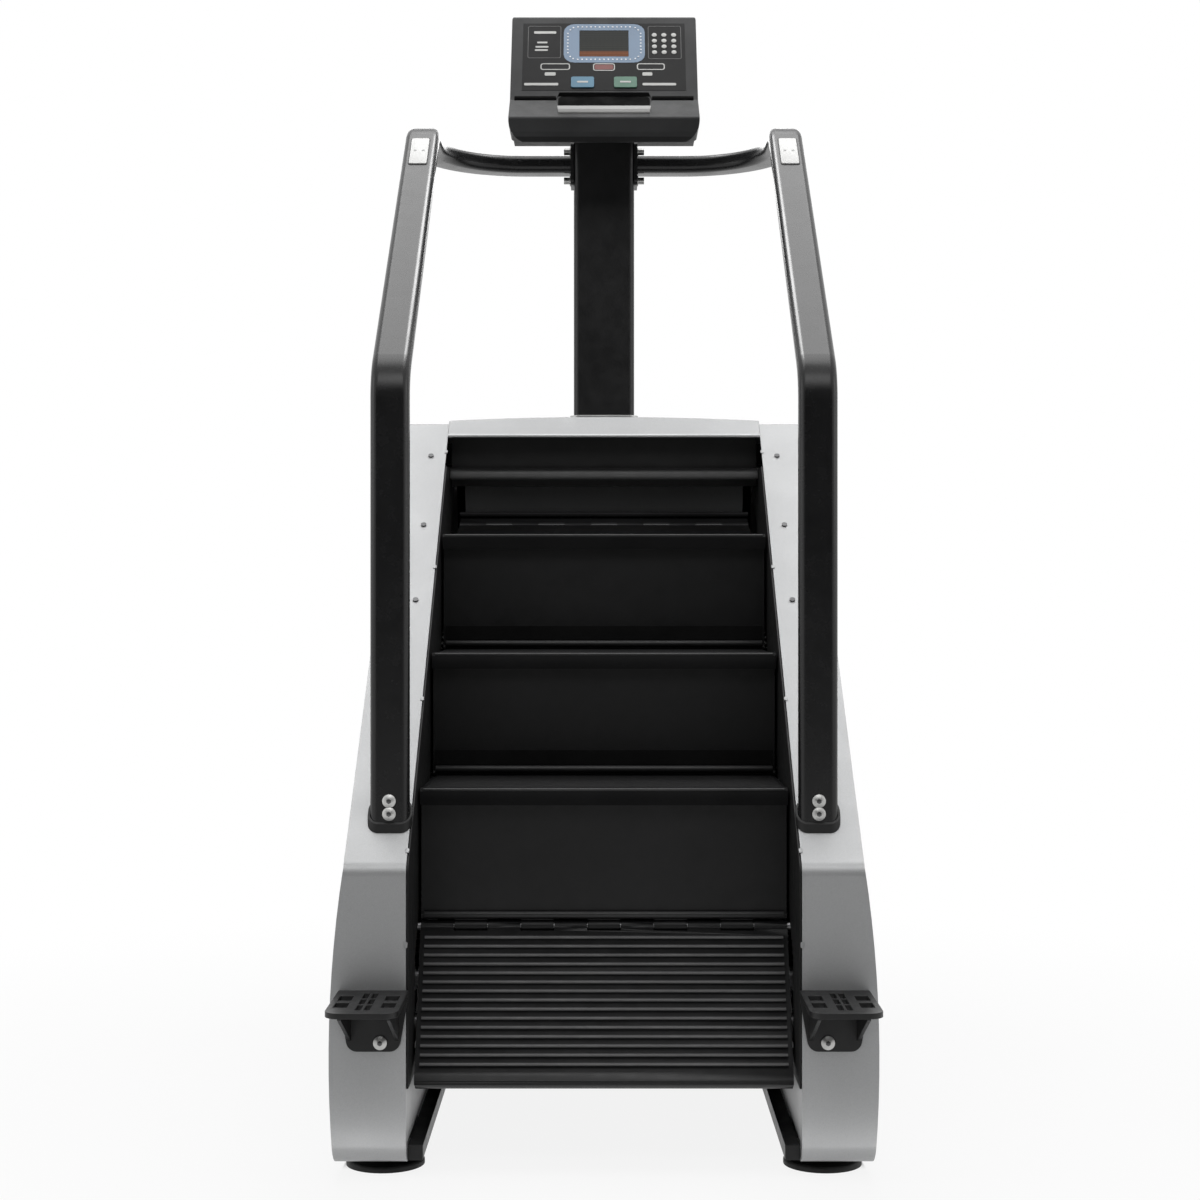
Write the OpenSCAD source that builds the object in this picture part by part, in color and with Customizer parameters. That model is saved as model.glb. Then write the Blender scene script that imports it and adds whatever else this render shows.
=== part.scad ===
// Stair climber: a revolving stair of hinged treads and risers between two covered sides,
// with handrails, a mast and a console. Millimetres, +Y to the rear, +Z up,
// origin on the floor below the middle.

/* [Stair] */
// Width of one step
step_w = 560; // [480:5:640]
// Height of one riser, hinge to hinge
riser_h = 200; // [180:1:215]
// Depth of one tread, hinge to hinge
going = 225.7; // [205:0.1:240]
// Distance of the lowest hinge above the lower sprocket
phase = 30; // [20:1:40]
// Lower axle, from the middle towards the front
axle_front = 366.7; // [350:1:380]
// Lower axle, above the floor
axle_z = 255.8; // [250:1:275]

/* [Treads and risers] */
// Tread top above its hinge line
tread_rise = 13; // [12:0.5:15]
// Tread sheet thickness
deck_t = 4; // [3:0.5:5]
// Rib height on the tread
rib_h = 2.5; // [1.5:0.5:3]
// Rib width
rib_w = 6; // [4:0.5:8]
// Rib spacing
rib_pitch = 14; // [12:0.5:16]
// Ribs on one tread
rib_count = 15; // [8:1:15]
// First rib, from the inner corner
rib_start = 22; // [20:1:30]
// Plain margin at each end of the ribs
rib_margin = 7; // [4:1:20]
// Nosing ahead of its hinge
nose_ahead = 22; // [18:0.5:24]
// Nosing skirt below the hinge line
nose_drop = 13; // [8:1:16]
// Nosing skirt thickness
nose_t = 3.5; // [2:0.5:4]
// Nosing edge radius
nose_round = 6.5; // [4:0.5:6.5]
// Riser sheet thickness
riser_t = 3; // [2:0.5:4]
// Rolled bead at the foot of the riser, radius
bead_r = 4.5; // [3:0.5:6]
// Comb hinge fingers across the step
fingers = 11; // [9:2:13]
// Inner corner knuckle radius
corner_r = 9; // [8:0.5:10]
// Nosing knuckle radius
nose_r = 5.8; // [5:0.1:6]
// Step axle radius
axle_r = 6; // [5:0.5:7]
// Nosing pin radius
pin_r = 3; // [2.5:0.1:3.5]
// Radial room of a running pin
run_fit = 0.06; // [0.03:0.01:0.1]
// Radial room at a hinge that is left open
open_fit = 5; // [4:0.5:6]
// Side gap between comb fingers
finger_gap = 0.8; // [0.6:0.1:1.5]

/* [Chain and shafts] */
// Chain line outside the step ends
chain_out = 23.5; // [20:0.5:30]
// Sprocket thickness
sprocket_t = 6; // [4:0.5:7]
// Chain side plate thickness
link_t = 3; // [2:0.5:4]
// Chain side plate height
link_h = 14; // [12:0.5:15]
// Chain pin radius
link_pin_r = 3; // [2:0.5:3.5]
// Shaft radius
shaft_r = 17.5; // [14:0.5:20]
// Drive pulley radius
pulley_r = 110; // [90:1:125]
// Motor pulley radius
motor_pulley_r = 30; // [25:1:40]
// Pulley and belt width
belt_w = 16; // [12:1:18]
// Belt thickness
belt_t = 4; // [3:0.5:5]

/* [Frame] */
// Side frame plate thickness
plate_t = 4; // [3:0.5:6]
// Side frame plate, from the step end to its inner face
plate_out = 62; // [60:1:66]
// Base rail width
rail_w = 22; // [18:1:26]
// Base rail height
rail_h = 22; // [18:1:26]
// Base rail, underside above the floor
rail_z = 22; // [18:1:24]
// Gap between a step end and a base rail's outer face, inwards positive
rail_in = -7; // [-8:1:10]
// Foot disc diameter
foot_d = 117; // [90:1:120]
// Foot disc height
foot_h = 10; // [8:1:13]
// Tube and sheet wall
wall = 3; // [2:0.5:4]

/* [Covers] */
// Gap between the step end and the inner guard
guard_gap = 4; // [3:0.5:6]
// Gap between the guard and the side cover
cover_gap = 0.4; // [0.3:0.1:0.8]
// Width of the side cover's sloping band
band_w = 91; // [86:1:100]
// Bulge of the side cover's outer skin
bulge = 21; // [10:1:30]
// Height of the widest place of the bulge
bulge_z = 175; // [150:1:200]
// Front face of the side covers, ahead of the lower axle
cover_front = 211.3; // [205:1:225]
// Bend from the front face to the sloping band, above the floor
bend_z = 453; // [430:1:480]
// Underside of the side covers, above the floor
cover_z = 21; // [18:1:26]
// Top of the side covers, above the upper axle
cover_top = 295; // [285:1:310]
// Top front corner of the covers, ahead of the upper axle
top_ahead = 48; // [40:1:60]
// Flat top, front to back
top_flat = 300; // [260:5:320]
// Rear of the covers, behind the upper axle
cover_rear = 420; // [400:5:440]
// Foot of the rear slope, below the upper axle
rear_slope_drop = 170; // [140:5:220]
// Corner radius under the front
cover_r = 30; // [20:1:40]
// Cover skin thickness
skin = 3; // [2:0.5:4]

/* [Handrails] */
// Handrail tube, wide way
grip_w = 58; // [50:1:64]
// Handrail tube, thin way
grip_t = 32; // [28:1:36]
// Handrail corner radius
grip_r = 13; // [9:0.5:13.5]
// Handrail post, ahead of the lower axle
post_ahead = 138.3; // [130:1:150]
// Handrail post height, floor to the elbow corner
elbow_z = 1174; // [1140:1:1200]
// Bend radius of the elbows
elbow_r = 75; // [60:1:90]
// Plan bend radius at the top
turn_r = 170; // [150:1:175]
// Top bar, above the floor
grip_z = 1658; // [1630:1:1680]

/* [Mast and console] */
// Mast width
mast_w = 113; // [100:1:130]
// Mast depth
mast_d = 80; // [70:1:90]
// Mast corner radius
mast_r = 12; // [8:1:16]
// Mast middle, behind the upper axle
mast_back = 22; // [15:1:30]
// Console width
console_w = 340; // [312:1:372]
// Console face height along its slope
face_h = 209; // [190:1:230]
// Console face, leaning back from upright
face_lean = 30; // [25:1:35]
// Console face foot, ahead of the mast middle
face_ahead = 170; // [160:1:180]
// Console face foot, above the top bar
face_up = 86; // [80:1:95]
// Console panel thickness
panel_t = 40; // [34:1:46]
// Console corners, radius of the lower ones
corner_low = 32; // [20:1:40]
// Console corners, radius of the upper ones
corner_high = 10; // [6:1:16]
// Key width
key_w = 42; // [34:1:48]
// Key height
key_h = 26; // [20:1:30]
// Key travel
key_travel = 1; // [0.6:0.1:1.5]

/* [Entry steps] */
// Entry step width
entry_w = 102; // [90:1:110]
// Entry step depth
entry_d = 172; // [150:1:190]
// Entry step, top above the floor
entry_z = 276; // [262:1:290]
// Entry step thickness
entry_t = 8; // [6:0.5:12]
// Entry step, radius of its front corners
entry_r = 22; // [14:1:30]

/* [Hidden] */
$fn = 48;
eps = 0.01;

// Steps on the whole loop, chain links from one step to the next, teeth on each sprocket
step_count = 8;
links_per_step = 19;
teeth = 35;

// The loop: two straight runs of chain and two half turns
step_pitch = norm([going, riser_h]);
incline = atan2(riser_h, going);
along = [cos(incline), sin(incline)];
out = [-sin(incline), cos(incline)];
link_pitch = step_pitch / links_per_step;
sprocket_r = link_pitch / (2 * sin(180 / teeth));
loop_len = step_count * step_pitch;
half_turn = PI * sprocket_r;
run_len = loop_len / 2 - half_turn;
lower = [-axle_front, axle_z];
upper = lower + run_len * along;

function degrees_of(arc) = arc / sprocket_r * 180 / PI;
function around(axis, arc) =
    axis + sprocket_r * (cos(degrees_of(arc)) * out + sin(degrees_of(arc)) * along);
function unwound(c) = c >= loop_len - half_turn ? c - loop_len : c;
function on_loop(c) =
    let (s = unwound(c))
    s < 0 ? around(lower, s) :
    s < run_len ? lower + sprocket_r * out + s * along :
    s < run_len + half_turn ? around(upper, s - run_len) :
    upper - sprocket_r * out - (s - run_len - half_turn) * along;
function corner(k) = on_loop(phase + (k < 0 ? k + step_count : k) * step_pitch);
// Nosing hinge of step k: riser and tread meet outside the loop
function nose(k) =
    let (
        a = corner(k - 1),
        b = corner(k),
        d = norm(b - a),
        e = (b - a) / d,
        x = (riser_h * riser_h - going * going + d * d) / (2 * d)
    )
    a + x * e + sqrt(max(0, riser_h * riser_h - x * x)) * [-e.y, e.x];
function heading(a, b) = atan2(b.y - a.y, b.x - a.x);

// Places across the machine
end_x = step_w / 2;
guard_x = end_x + guard_gap;
cover_x = guard_x + skin + cover_gap;
skin_x = cover_x + band_w;
chain_x = end_x + chain_out;
plate_x = end_x + plate_out;
finger_w = step_w / fingers;
link_room = 0.5;
inner_link_x = chain_x - sprocket_t / 2 - link_room - link_t;
outer_link_x = chain_x + sprocket_t / 2 + link_room;

module both_sides() {
    children();
    mirror([1, 0, 0]) children();
}
// A side view drawn in Y and Z, drawn out across the machine
module along_x(x0, x1) {
    translate([x0, 0, 0]) rotate([90, 0, 90]) linear_extrude(x1 - x0) children();
}
// A front view drawn in X and Z, drawn out along the machine
module along_y(y0, y1) {
    translate([0, y1, 0]) rotate([90, 0, 0]) linear_extrude(y1 - y0) children();
}
module rod(x0, x1, r) {
    translate([x0, 0, 0]) rotate([0, 90, 0]) cylinder(h = x1 - x0, r = r);
}
module at(p) {
    translate([0, p.x, p.y]) children();
}
module span(a0, a1, b0, b1) {
    translate([a0, b0]) square([a1 - a0, b1 - b0]);
}

// Comb hinge fingers: odd = 0 keeps the tread's fingers, odd = 1 the riser's
module comb(odd) {
    for (i = [odd : 2 : fingers - 1])
        along_x(
            -end_x + i * finger_w + (i == 0 ? 0 : finger_gap / 2),
            -end_x + (i + 1) * finger_w - (i == fingers - 1 ? 0 : finger_gap / 2)
        ) children();
}

// Tread profile, from its nosing hinge to its inner corner
deck_top = tread_rise - rib_h;
deck_low = deck_top - deck_t;
deck_end = going - corner_r - 2;
module tread_profile() {
    round_a = -nose_ahead + nose_round;
    round_b = tread_rise - nose_round;
    span(round_a, deck_end, deck_low, deck_top);
    span(round_a, 0, deck_low, tread_rise);
    span(-nose_ahead, -nose_ahead + nose_t, -nose_drop, round_b);
    intersection() {
        translate([round_a, round_b]) circle(nose_round);
        span(-nose_ahead, round_a, round_b, tread_rise);
    }
}
module tread_ribs() {
    intersection() {
        for (i = [0 : rib_count - 1])
            translate([going - rib_start - i * rib_pitch, tread_rise - rib_w / 2]) circle(rib_w / 2);
        span(0, going, deck_low + deck_t / 2, tread_rise);
    }
}
module tread_knuckles() {
    arm = corner_r + 2;
    circle(nose_r);
    span(-nose_r * 0.7, nose_r * 0.7, 0, deck_top);
    translate([going, 0]) circle(corner_r);
    polygon([
        [deck_end - arm, deck_top], [deck_end, deck_top],
        [going - corner_r * 0.5, corner_r * 0.8], [going - corner_r * 0.7, -corner_r * 0.6],
        [deck_end - arm, deck_low]
    ]);
}
// Tread k; an open corner leaves its axle free
module tread(k, open = false) {
    at(nose(k)) rotate([heading(nose(k), corner(k)), 0, 0]) difference() {
        union() {
            along_x(-end_x, end_x) tread_profile();
            along_x(-end_x + rib_margin, end_x - rib_margin) tread_ribs();
            comb(0) tread_knuckles();
        }
        rod(-end_x - 1, end_x + 1, pin_r + run_fit);
        translate([0, going, 0])
            rod(-end_x - 1, end_x + 1, axle_r + (open ? open_fit : run_fit));
    }
}

// Riser profile, from its inner corner to its nosing hinge
sheet_foot = corner_r + 2;
sheet_head = riser_h - nose_r - 2;
module riser_profile() {
    span(sheet_foot, sheet_head, -riser_t / 2, riser_t / 2);
    translate([sheet_foot + bead_r, riser_t / 2]) circle(bead_r);
}
module riser_knuckles() {
    circle(corner_r);
    span(0, sheet_foot + bead_r, -riser_t / 2, riser_t / 2);
    translate([riser_h, 0]) circle(nose_r);
    span(sheet_head - 1, riser_h, -riser_t / 2, riser_t / 2);
}
// Riser k carries the nosing pin
module riser(k, open = false) {
    at(corner(k - 1)) rotate([heading(corner(k - 1), nose(k)), 0, 0]) {
        difference() {
            union() {
                along_x(-end_x, end_x) riser_profile();
                comb(1) riser_knuckles();
            }
            rod(-end_x - 1, end_x + 1, axle_r + (open ? open_fit : run_fit));
        }
        translate([0, riser_h, 0]) rod(-end_x, end_x, pin_r);
    }
}

module run_treads() {
    color("dimgray") for (k = [1, 2]) tread(k);
}
module run_risers() {
    color([0.12, 0.12, 0.13]) for (k = [1, 2]) riser(k);
}
module first_tread() {
    color("dimgray") tread(0);
}
module first_riser() {
    color([0.12, 0.12, 0.13]) riser(0, open = true);
}
module top_tread() {
    color("dimgray") tread(3, open = true);
}
module top_riser() {
    color([0.12, 0.12, 0.13]) riser(3);
}
module over_riser() {
    color([0.12, 0.12, 0.13]) riser(4);
}
module over_tread() {
    color("dimgray") tread(4, open = true);
}
module return_steps() {
    color("dimgray") for (k = [5, 6]) {
        tread(k);
        riser(k);
    }
}
module under_riser() {
    color([0.12, 0.12, 0.13]) riser(7);
}
module under_tread() {
    color("dimgray") tread(7, open = true);
}

// Axles between the two chains, one at each inner corner
module axle(k) {
    at(corner(k)) rod(-inner_link_x, inner_link_x, axle_r);
}
module run_axles() {
    color("silver") for (k = [0, 1, 2]) axle(k);
}
module upper_axle() {
    color("silver") axle(3);
}
module return_axles() {
    color("silver") for (k = [4, 5, 6]) axle(k);
}
module lower_axle() {
    color("silver") axle(7);
}

// Chains: two rows of side plates with a pin at each link
seam = 1.5;
module chain_sides() {
    both_sides() {
        along_x(inner_link_x, inner_link_x + link_t) children();
        along_x(outer_link_x, outer_link_x + link_t) children();
    }
}
module chain_pins(c0, c1) {
    first = ceil((c0 - phase) / link_pitch);
    last = floor((c1 - phase) / link_pitch);
    both_sides()
        for (i = [first : last])
            at(on_loop(phase + i * link_pitch)) rod(inner_link_x, outer_link_x + link_t, link_pin_r);
}
module straight_links(start, turn) {
    translate(start) rotate(turn)
        span(seam, run_len - seam, -link_h / 2, link_h / 2);
}
module turned_links(axis, turn) {
    reach = sprocket_r + link_h;
    translate(axis) rotate(turn) intersection() {
        difference() {
            circle(sprocket_r + link_h / 2, $fn = 96);
            circle(sprocket_r - link_h / 2, $fn = 96);
        }
        span(seam, reach, -reach, reach);
    }
}
pin_room = seam + link_pin_r;
module run_chain() {
    color("gray") {
        chain_sides() straight_links(lower + sprocket_r * out, incline);
        chain_pins(pin_room, run_len - pin_room);
    }
}
module return_chain() {
    color("gray") {
        chain_sides() straight_links(upper - sprocket_r * out, incline + 180);
        chain_pins(run_len + half_turn + pin_room, loop_len - half_turn - pin_room);
    }
}
module upper_chain() {
    color("gray") {
        chain_sides() turned_links(upper, incline);
        chain_pins(run_len + pin_room, run_len + half_turn - pin_room);
    }
}
module lower_chain() {
    color("gray") {
        chain_sides() turned_links(lower, incline + 180);
        chain_pins(loop_len - half_turn + pin_room, loop_len - pin_room);
    }
}

// Sprockets: tooth gaps line up with the chain pins of their half turn
tip_h = 3;
gap_room = 2.5;
hub_r = shaft_r + 14;
hub_l = 20;
press_fit = 0.02;
module sprocket(axis, mid_arc) {
    first_gap = incline + 90 - degrees_of(mid_arc);
    at(axis) difference() {
        union() {
            along_x(chain_x - sprocket_t / 2, chain_x + sprocket_t / 2) difference() {
                circle(sprocket_r + tip_h, $fn = 96);
                for (i = [0 : teeth - 1])
                    rotate(first_gap + i * 360 / teeth)
                        translate([sprocket_r, 0]) circle(link_pin_r + gap_room, $fn = 24);
                for (i = [0 : 5])
                    rotate(i * 60) translate([sprocket_r * 0.62, 0]) circle(sprocket_r * 0.16);
            }
            rod(chain_x, chain_x + hub_l, hub_r);
        }
        rod(chain_x - hub_l, chain_x + hub_l + 1, shaft_r + press_fit);
    }
}
upper_mid = round((run_len + half_turn / 2 - phase) / link_pitch) * link_pitch + phase - run_len;
lower_mid = round((-half_turn / 2 - phase) / link_pitch) * link_pitch + phase;
module drive_sprockets() {
    color("gray") both_sides() sprocket(upper, upper_mid);
}
module idler_sprockets() {
    color("gray") both_sides() sprocket(lower, lower_mid);
}
shaft_end = plate_x + plate_t + 6;
pulley_x = plate_x + plate_t + 4;
module drive_shaft() {
    color("silver") at(upper) rod(-shaft_end, pulley_x + belt_w, shaft_r);
}
module idler_shaft() {
    color("silver") at(lower) rod(-shaft_end, shaft_end, shaft_r);
}
bearing_t = 12;
bearing_r = shaft_r + 27;
module shaft_bearings() {
    color("dimgray") both_sides() for (axis = [upper, lower]) at(axis) difference() {
        union() {
            rod(plate_x - bearing_t, plate_x, shaft_r + 12);
            rod(plate_x - bearing_t / 2, plate_x, bearing_r);
        }
        rod(plate_x - bearing_t - 1, plate_x + 1, shaft_r + run_fit);
    }
}

// Drive: motor low at the rear, belt outside the right frame plate
motor_at = [upper.x + 200, 250];
motor_r = 80;
motor_l = 200;
motor_shaft_r = 10;
module drive_pulley() {
    web_holes = 6;
    color("dimgray") at(upper) difference() {
        rod(pulley_x, pulley_x + belt_w, pulley_r);
        rod(pulley_x - 1, pulley_x + belt_w + 1, shaft_r + press_fit);
        for (i = [0 : web_holes - 1])
            rotate([i * 360 / web_holes, 0, 0]) translate([0, pulley_r * 0.6, 0])
                rod(pulley_x - 1, pulley_x + belt_w + 1, pulley_r * 0.2);
    }
}
module motor() {
    color("dimgray") at(motor_at) difference() {
        union() {
            rod(plate_x - motor_l, plate_x - 10, motor_r);
            along_x(plate_x - 12, plate_x) square(motor_r * 1.7, center = true);
            for (i = [0 : 11])
                rotate([i * 30, 0, 0])
                    along_x(plate_x - motor_l + 30, plate_x - 30) span(0, motor_r + 8, -2, 2);
        }
        rod(plate_x - 40, plate_x + 1, motor_shaft_r + run_fit);
    }
}
module motor_pulley() {
    color("silver") at(motor_at) {
        rod(plate_x - 39, pulley_x + belt_w, motor_shaft_r);
        rod(pulley_x, pulley_x + belt_w, motor_pulley_r);
    }
}
// Outline of a belt on two pulleys
belt_steps = 48;
function belt_points(grow) =
    let (
        line = heading(upper, motor_at),
        lap = acos((pulley_r - motor_pulley_r) / norm(motor_at - upper))
    )
    concat(
        [for (i = [0 : belt_steps]) let (a = line + lap + (360 - 2 * lap) * i / belt_steps)
            upper + (pulley_r + grow) * [cos(a), sin(a)]],
        [for (i = [0 : belt_steps]) let (a = line - lap + 2 * lap * i / belt_steps)
            motor_at + (motor_pulley_r + grow) * [cos(a), sin(a)]]
    );
belt_fit = 0.4;
module drive_belt() {
    color([0.1, 0.1, 0.1]) along_x(pulley_x + 1, pulley_x + belt_w - 1) difference() {
        polygon(belt_points(belt_fit + belt_t));
        polygon(belt_points(belt_fit));
    }
}

// Outline helpers: rounded corners and an even inset of a closed outline
function turn_arc(a, b, c, r, n = 6) =
    let (
        u = (a - b) / norm(a - b),
        v = (c - b) / norm(c - b),
        half = acos(u * v) / 2,
        mid = (u + v) / norm(u + v),
        centre = b + mid * r / sin(half),
        from = b + u * r / tan(half) - centre,
        to = b + v * r / tan(half) - centre,
        sweep = (180 - 2 * half) * sign(from.x * to.y - from.y * to.x)
    )
    [for (i = [0 : n]) let (t = sweep * i / n)
        centre + [from.x * cos(t) - from.y * sin(t), from.x * sin(t) + from.y * cos(t)]];
function rounded(p, radii) = [
    for (i = [0 : len(p) - 1])
        each turn_arc(p[(i + len(p) - 1) % len(p)], p[i], p[(i + 1) % len(p)], radii[i])
];
function inset(p, d) = [
    for (i = [0 : len(p) - 1])
        let (
            e = p[i] - p[(i + len(p) - 1) % len(p)],
            f = p[(i + 1) % len(p)] - p[i],
            m = [-e.y, e.x] / norm(e),
            n = [-f.y, f.x] / norm(f)
        )
        p[i] + (m + n) * d / (1 + m * n)
];

// Side outline of the covers
front_y = lower.x - cover_front;
rear_y = upper.x + cover_rear;
top_z = upper.y + cover_top;
top_front = upper.x - top_ahead;
top_rear = top_front + top_flat;
band_slope = atan2(top_z - bend_z, top_front - front_y);
function band_z(y) = bend_z + (y - front_y) * tan(band_slope);
cover_corners = [
    [front_y, cover_z], [rear_y, cover_z], [rear_y, upper.y - rear_slope_drop],
    [top_rear, top_z], [top_front, top_z], [front_y, bend_z]
];
rear_r = 90;
lip_r = 12;
bend_r = 28;
cover_radii = [cover_r, cover_r, rear_r, rear_r, lip_r, bend_r];
cover_outline = rounded(cover_corners, cover_radii);
function skin_at(z) =
    skin_x + (z < bend_z ? bulge * (1 - pow((z - bulge_z) / (bend_z - bulge_z), 2)) : 0);
function skin_outline(d) = concat(
    [[cover_x - 2, 0]],
    [for (i = [0 : 12]) let (z = bend_z * i / 12) [skin_at(z) - d, z]],
    [[skin_x - d, top_z + 2], [cover_x - 2, top_z + 2]]
);

// Frame
foot_x = cover_x + 39;
foot_front = front_y + 96;
foot_rear = rear_y - 148;
stud_r = 8;
pad_w = 40;
frame_inset = 18;
pad_z = cover_z + frame_inset;
rail_x = end_x - rail_in - rail_w;
tie_h = pad_z + 2 * plate_t - rail_z;
rear_tube_y = rear_y - 120;
mid_tube_y = lower.x + 430;
module base_rail() {
    front_end = front_y + 28;
    rear_end = rear_y - 40;
    difference() {
        translate([rail_x, front_end, rail_z]) cube([rail_w, rear_end - front_end, rail_h]);
        translate([rail_x + wall, front_end + wall, rail_z + wall])
            cube([rail_w - 2 * wall, rear_end - front_end, rail_h - 2 * wall]);
    }
}
module base_frame() {
    color([0.1, 0.1, 0.11]) {
        both_sides() {
            base_rail();
            for (y = [foot_front + 1.5 * pad_w, mid_tube_y, rear_tube_y])
                translate([rail_x + rail_w, y, rail_z]) cube([plate_x - rail_x - rail_w, pad_w, tie_h]);
        }
        for (y = [mid_tube_y, rear_tube_y])
            translate([-rail_x, y, rail_z]) cube([2 * rail_x, pad_w, rail_h]);
    }
}
post_x = cover_x + grip_w / 2 + 1;
post_y = lower.x - post_ahead;
stub_fit = 0.3;
stub_h = 70;
module stub_section(grow) {
    core = wall - grow;
    rounded_box(grip_w - 2 * core, grip_t - 2 * core, grip_r - core);
}
lug_z = entry_z - 90;
lug_h = 60;
module frame_side(motor_hole) {
    difference() {
        union() {
            along_x(plate_x, plate_x + plate_t) difference() {
                polygon(rounded(
                    inset(cover_corners, frame_inset),
                    [for (r = cover_radii) max(r - frame_inset, skin)]
                ));
                translate(lower) rotate(incline)
                    span(run_len * 0.15, run_len * 0.85, -sprocket_r / 2, sprocket_r / 2);
            }
            // Foot pads
            for (y = [foot_front, foot_rear])
                translate([plate_x - pad_w, y - pad_w / 2, pad_z])
                    cube([pad_w + eps, pad_w, plate_t * 2]);
            // Handrail stub
            translate([post_x, post_y, bend_z - 20])
                linear_extrude(band_z(post_y) - bend_z + 20 + stub_h) stub_section(-stub_fit);
            // Lug behind the entry step
            translate([plate_x - pad_w, front_y + skin, lug_z])
                cube([pad_w + plate_t, frame_inset + pad_w, lug_h]);
        }
        for (axis = [upper, lower]) at(axis) rod(plate_x - 1, plate_x + plate_t + 1, shaft_r + 4);
        for (y = [foot_front, foot_rear]) translate([foot_x, y, 0]) cylinder(h = 200, r = stud_r);
        if (motor_hole) at(motor_at) rod(plate_x - 1, plate_x + plate_t + 1, motor_shaft_r + 4);
    }
}
module frame_right() {
    color([0.15, 0.15, 0.16]) frame_side(true);
}
module frame_left() {
    color([0.15, 0.15, 0.16]) mirror([1, 0, 0]) frame_side(false);
}
guide_t = 12;
guide_gap = 0.5;
module chain_guides() {
    from = sprocket_r * 0.85;
    face = link_h / 2 + guide_gap;
    color("ivory") both_sides() along_x(inner_link_x - link_t, plate_x) {
        translate(lower + sprocket_r * out) rotate(incline)
            span(from, run_len - from, -face - guide_t, -face);
        translate(upper - sprocket_r * out) rotate(incline + 180)
            span(from, run_len - from, face, face + guide_t);
    }
}
module levelling_feet() {
    color([0.1, 0.1, 0.1]) both_sides() for (y = [foot_front, foot_rear]) translate([foot_x, y, 0]) {
        rotate_extrude() {
            span(0, foot_d / 2, 0, foot_h * 0.5);
            span(0, foot_d / 2 - foot_h * 0.5, 0, foot_h);
            translate([foot_d / 2 - foot_h * 0.5, foot_h * 0.5]) circle(foot_h * 0.5);
        }
        cylinder(h = pad_z + plate_t * 2 + 12, r = stud_r - press_fit);
        translate([0, 0, pad_z - 8]) cylinder(h = 8, r = stud_r * 1.6, $fn = 6);
    }
}

// Covers
tie_top = rail_z + tie_h;
inner_wall_h = 85;
inner_wall_top = tie_top + inner_wall_h;
inner_wall_rear = front_y + 390;
screw_in = 27;
screw_r = 2;
screw_gap = 157;
screw_first = top_front - 78;
screw_ys = [for (i = [0 : 2]) screw_first - i * screw_gap];
module side_cover() {
    difference() {
        intersection() {
            along_x(cover_x, skin_x + bulge + 1) polygon(cover_outline);
            along_y(front_y - 1, rear_y + 1) polygon(skin_outline(0));
        }
        difference() {
            intersection() {
                along_x(cover_x - 1, skin_x + bulge) polygon(inset(cover_outline, skin));
                along_y(front_y, rear_y) polygon(skin_outline(skin));
            }
            along_x(cover_x - 2, cover_x + skin) {
                span(front_y, front_y + 26, cover_z, inner_wall_top);
                span(front_y, inner_wall_rear, tie_top + 2, inner_wall_top);
            }
        }
        translate([cover_x - 1, front_y + 1.2 * cover_r, cover_z - 1])
            cube([band_w - skin, rear_y - front_y - 2.4 * cover_r, skin + 2]);
        entry_bolt_places() rotate([-90, 0, 0]) cylinder(h = 30, r = bolt_r + press_fit);
        translate([post_x, post_y, bend_z]) linear_extrude(200) stub_section(1);
        for (y = screw_ys) translate([cover_x + screw_in, y, band_z(y)])
            rotate([band_slope, 0, 0]) cylinder(h = 30, r = screw_r + press_fit, center = true);
    }
}
module side_cover_right() {
    color("silver") side_cover();
}
module side_cover_left() {
    color("silver") mirror([1, 0, 0]) side_cover();
}
module cover_screws() {
    color("gray") both_sides() for (y = screw_ys)
        translate([cover_x + screw_in, y, band_z(y)]) rotate([band_slope, 0, 0]) {
            translate([0, 0, eps]) cylinder(h = 2.5, r = screw_r * 2.4);
            translate([0, 0, -10]) cylinder(h = 11, r = screw_r);
        }
}
chain_clear = 14;
guard_drop = 85;
module guard() {
    far = 2 * run_len;
    along_x(guard_x, guard_x + skin) difference() {
        intersection() {
            polygon(inset(cover_outline, skin));
            union() {
                translate(lower) rotate(incline) span(-far, far, sprocket_r + chain_clear, far);
                span(front_y, lower.x - sprocket_r - chain_clear, 0, upper.y);
            }
            span(front_y, top_rear, inner_wall_top, top_z - guard_drop);
        }
        for (axis = [lower, upper]) translate(axis) circle(sprocket_r + chain_clear, $fn = 96);
    }
}
module guard_right() {
    color([0.1, 0.1, 0.1]) guard();
}
module guard_left() {
    color([0.1, 0.1, 0.1]) mirror([1, 0, 0]) guard();
}

// Top cover: an arched panel with a deep front edge, pierced by the mast
mast_y = upper.x + mast_back;
crown = 8;
panel_up = 6;
panel_lip = 33;
side_gap = 0.3;
panel_half = cover_x - side_gap;
function arch(x) = top_z + panel_up + crown * (1 - pow(x / panel_half, 2));
function arch_points(d) = [for (i = [-8 : 8]) let (x = panel_half * i / 8) [x, arch(x) - d]];
module arch_strip(low) {
    polygon(concat(arch_points(0), [for (i = [16 : -1 : 0]) low[i]]));
}
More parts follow.
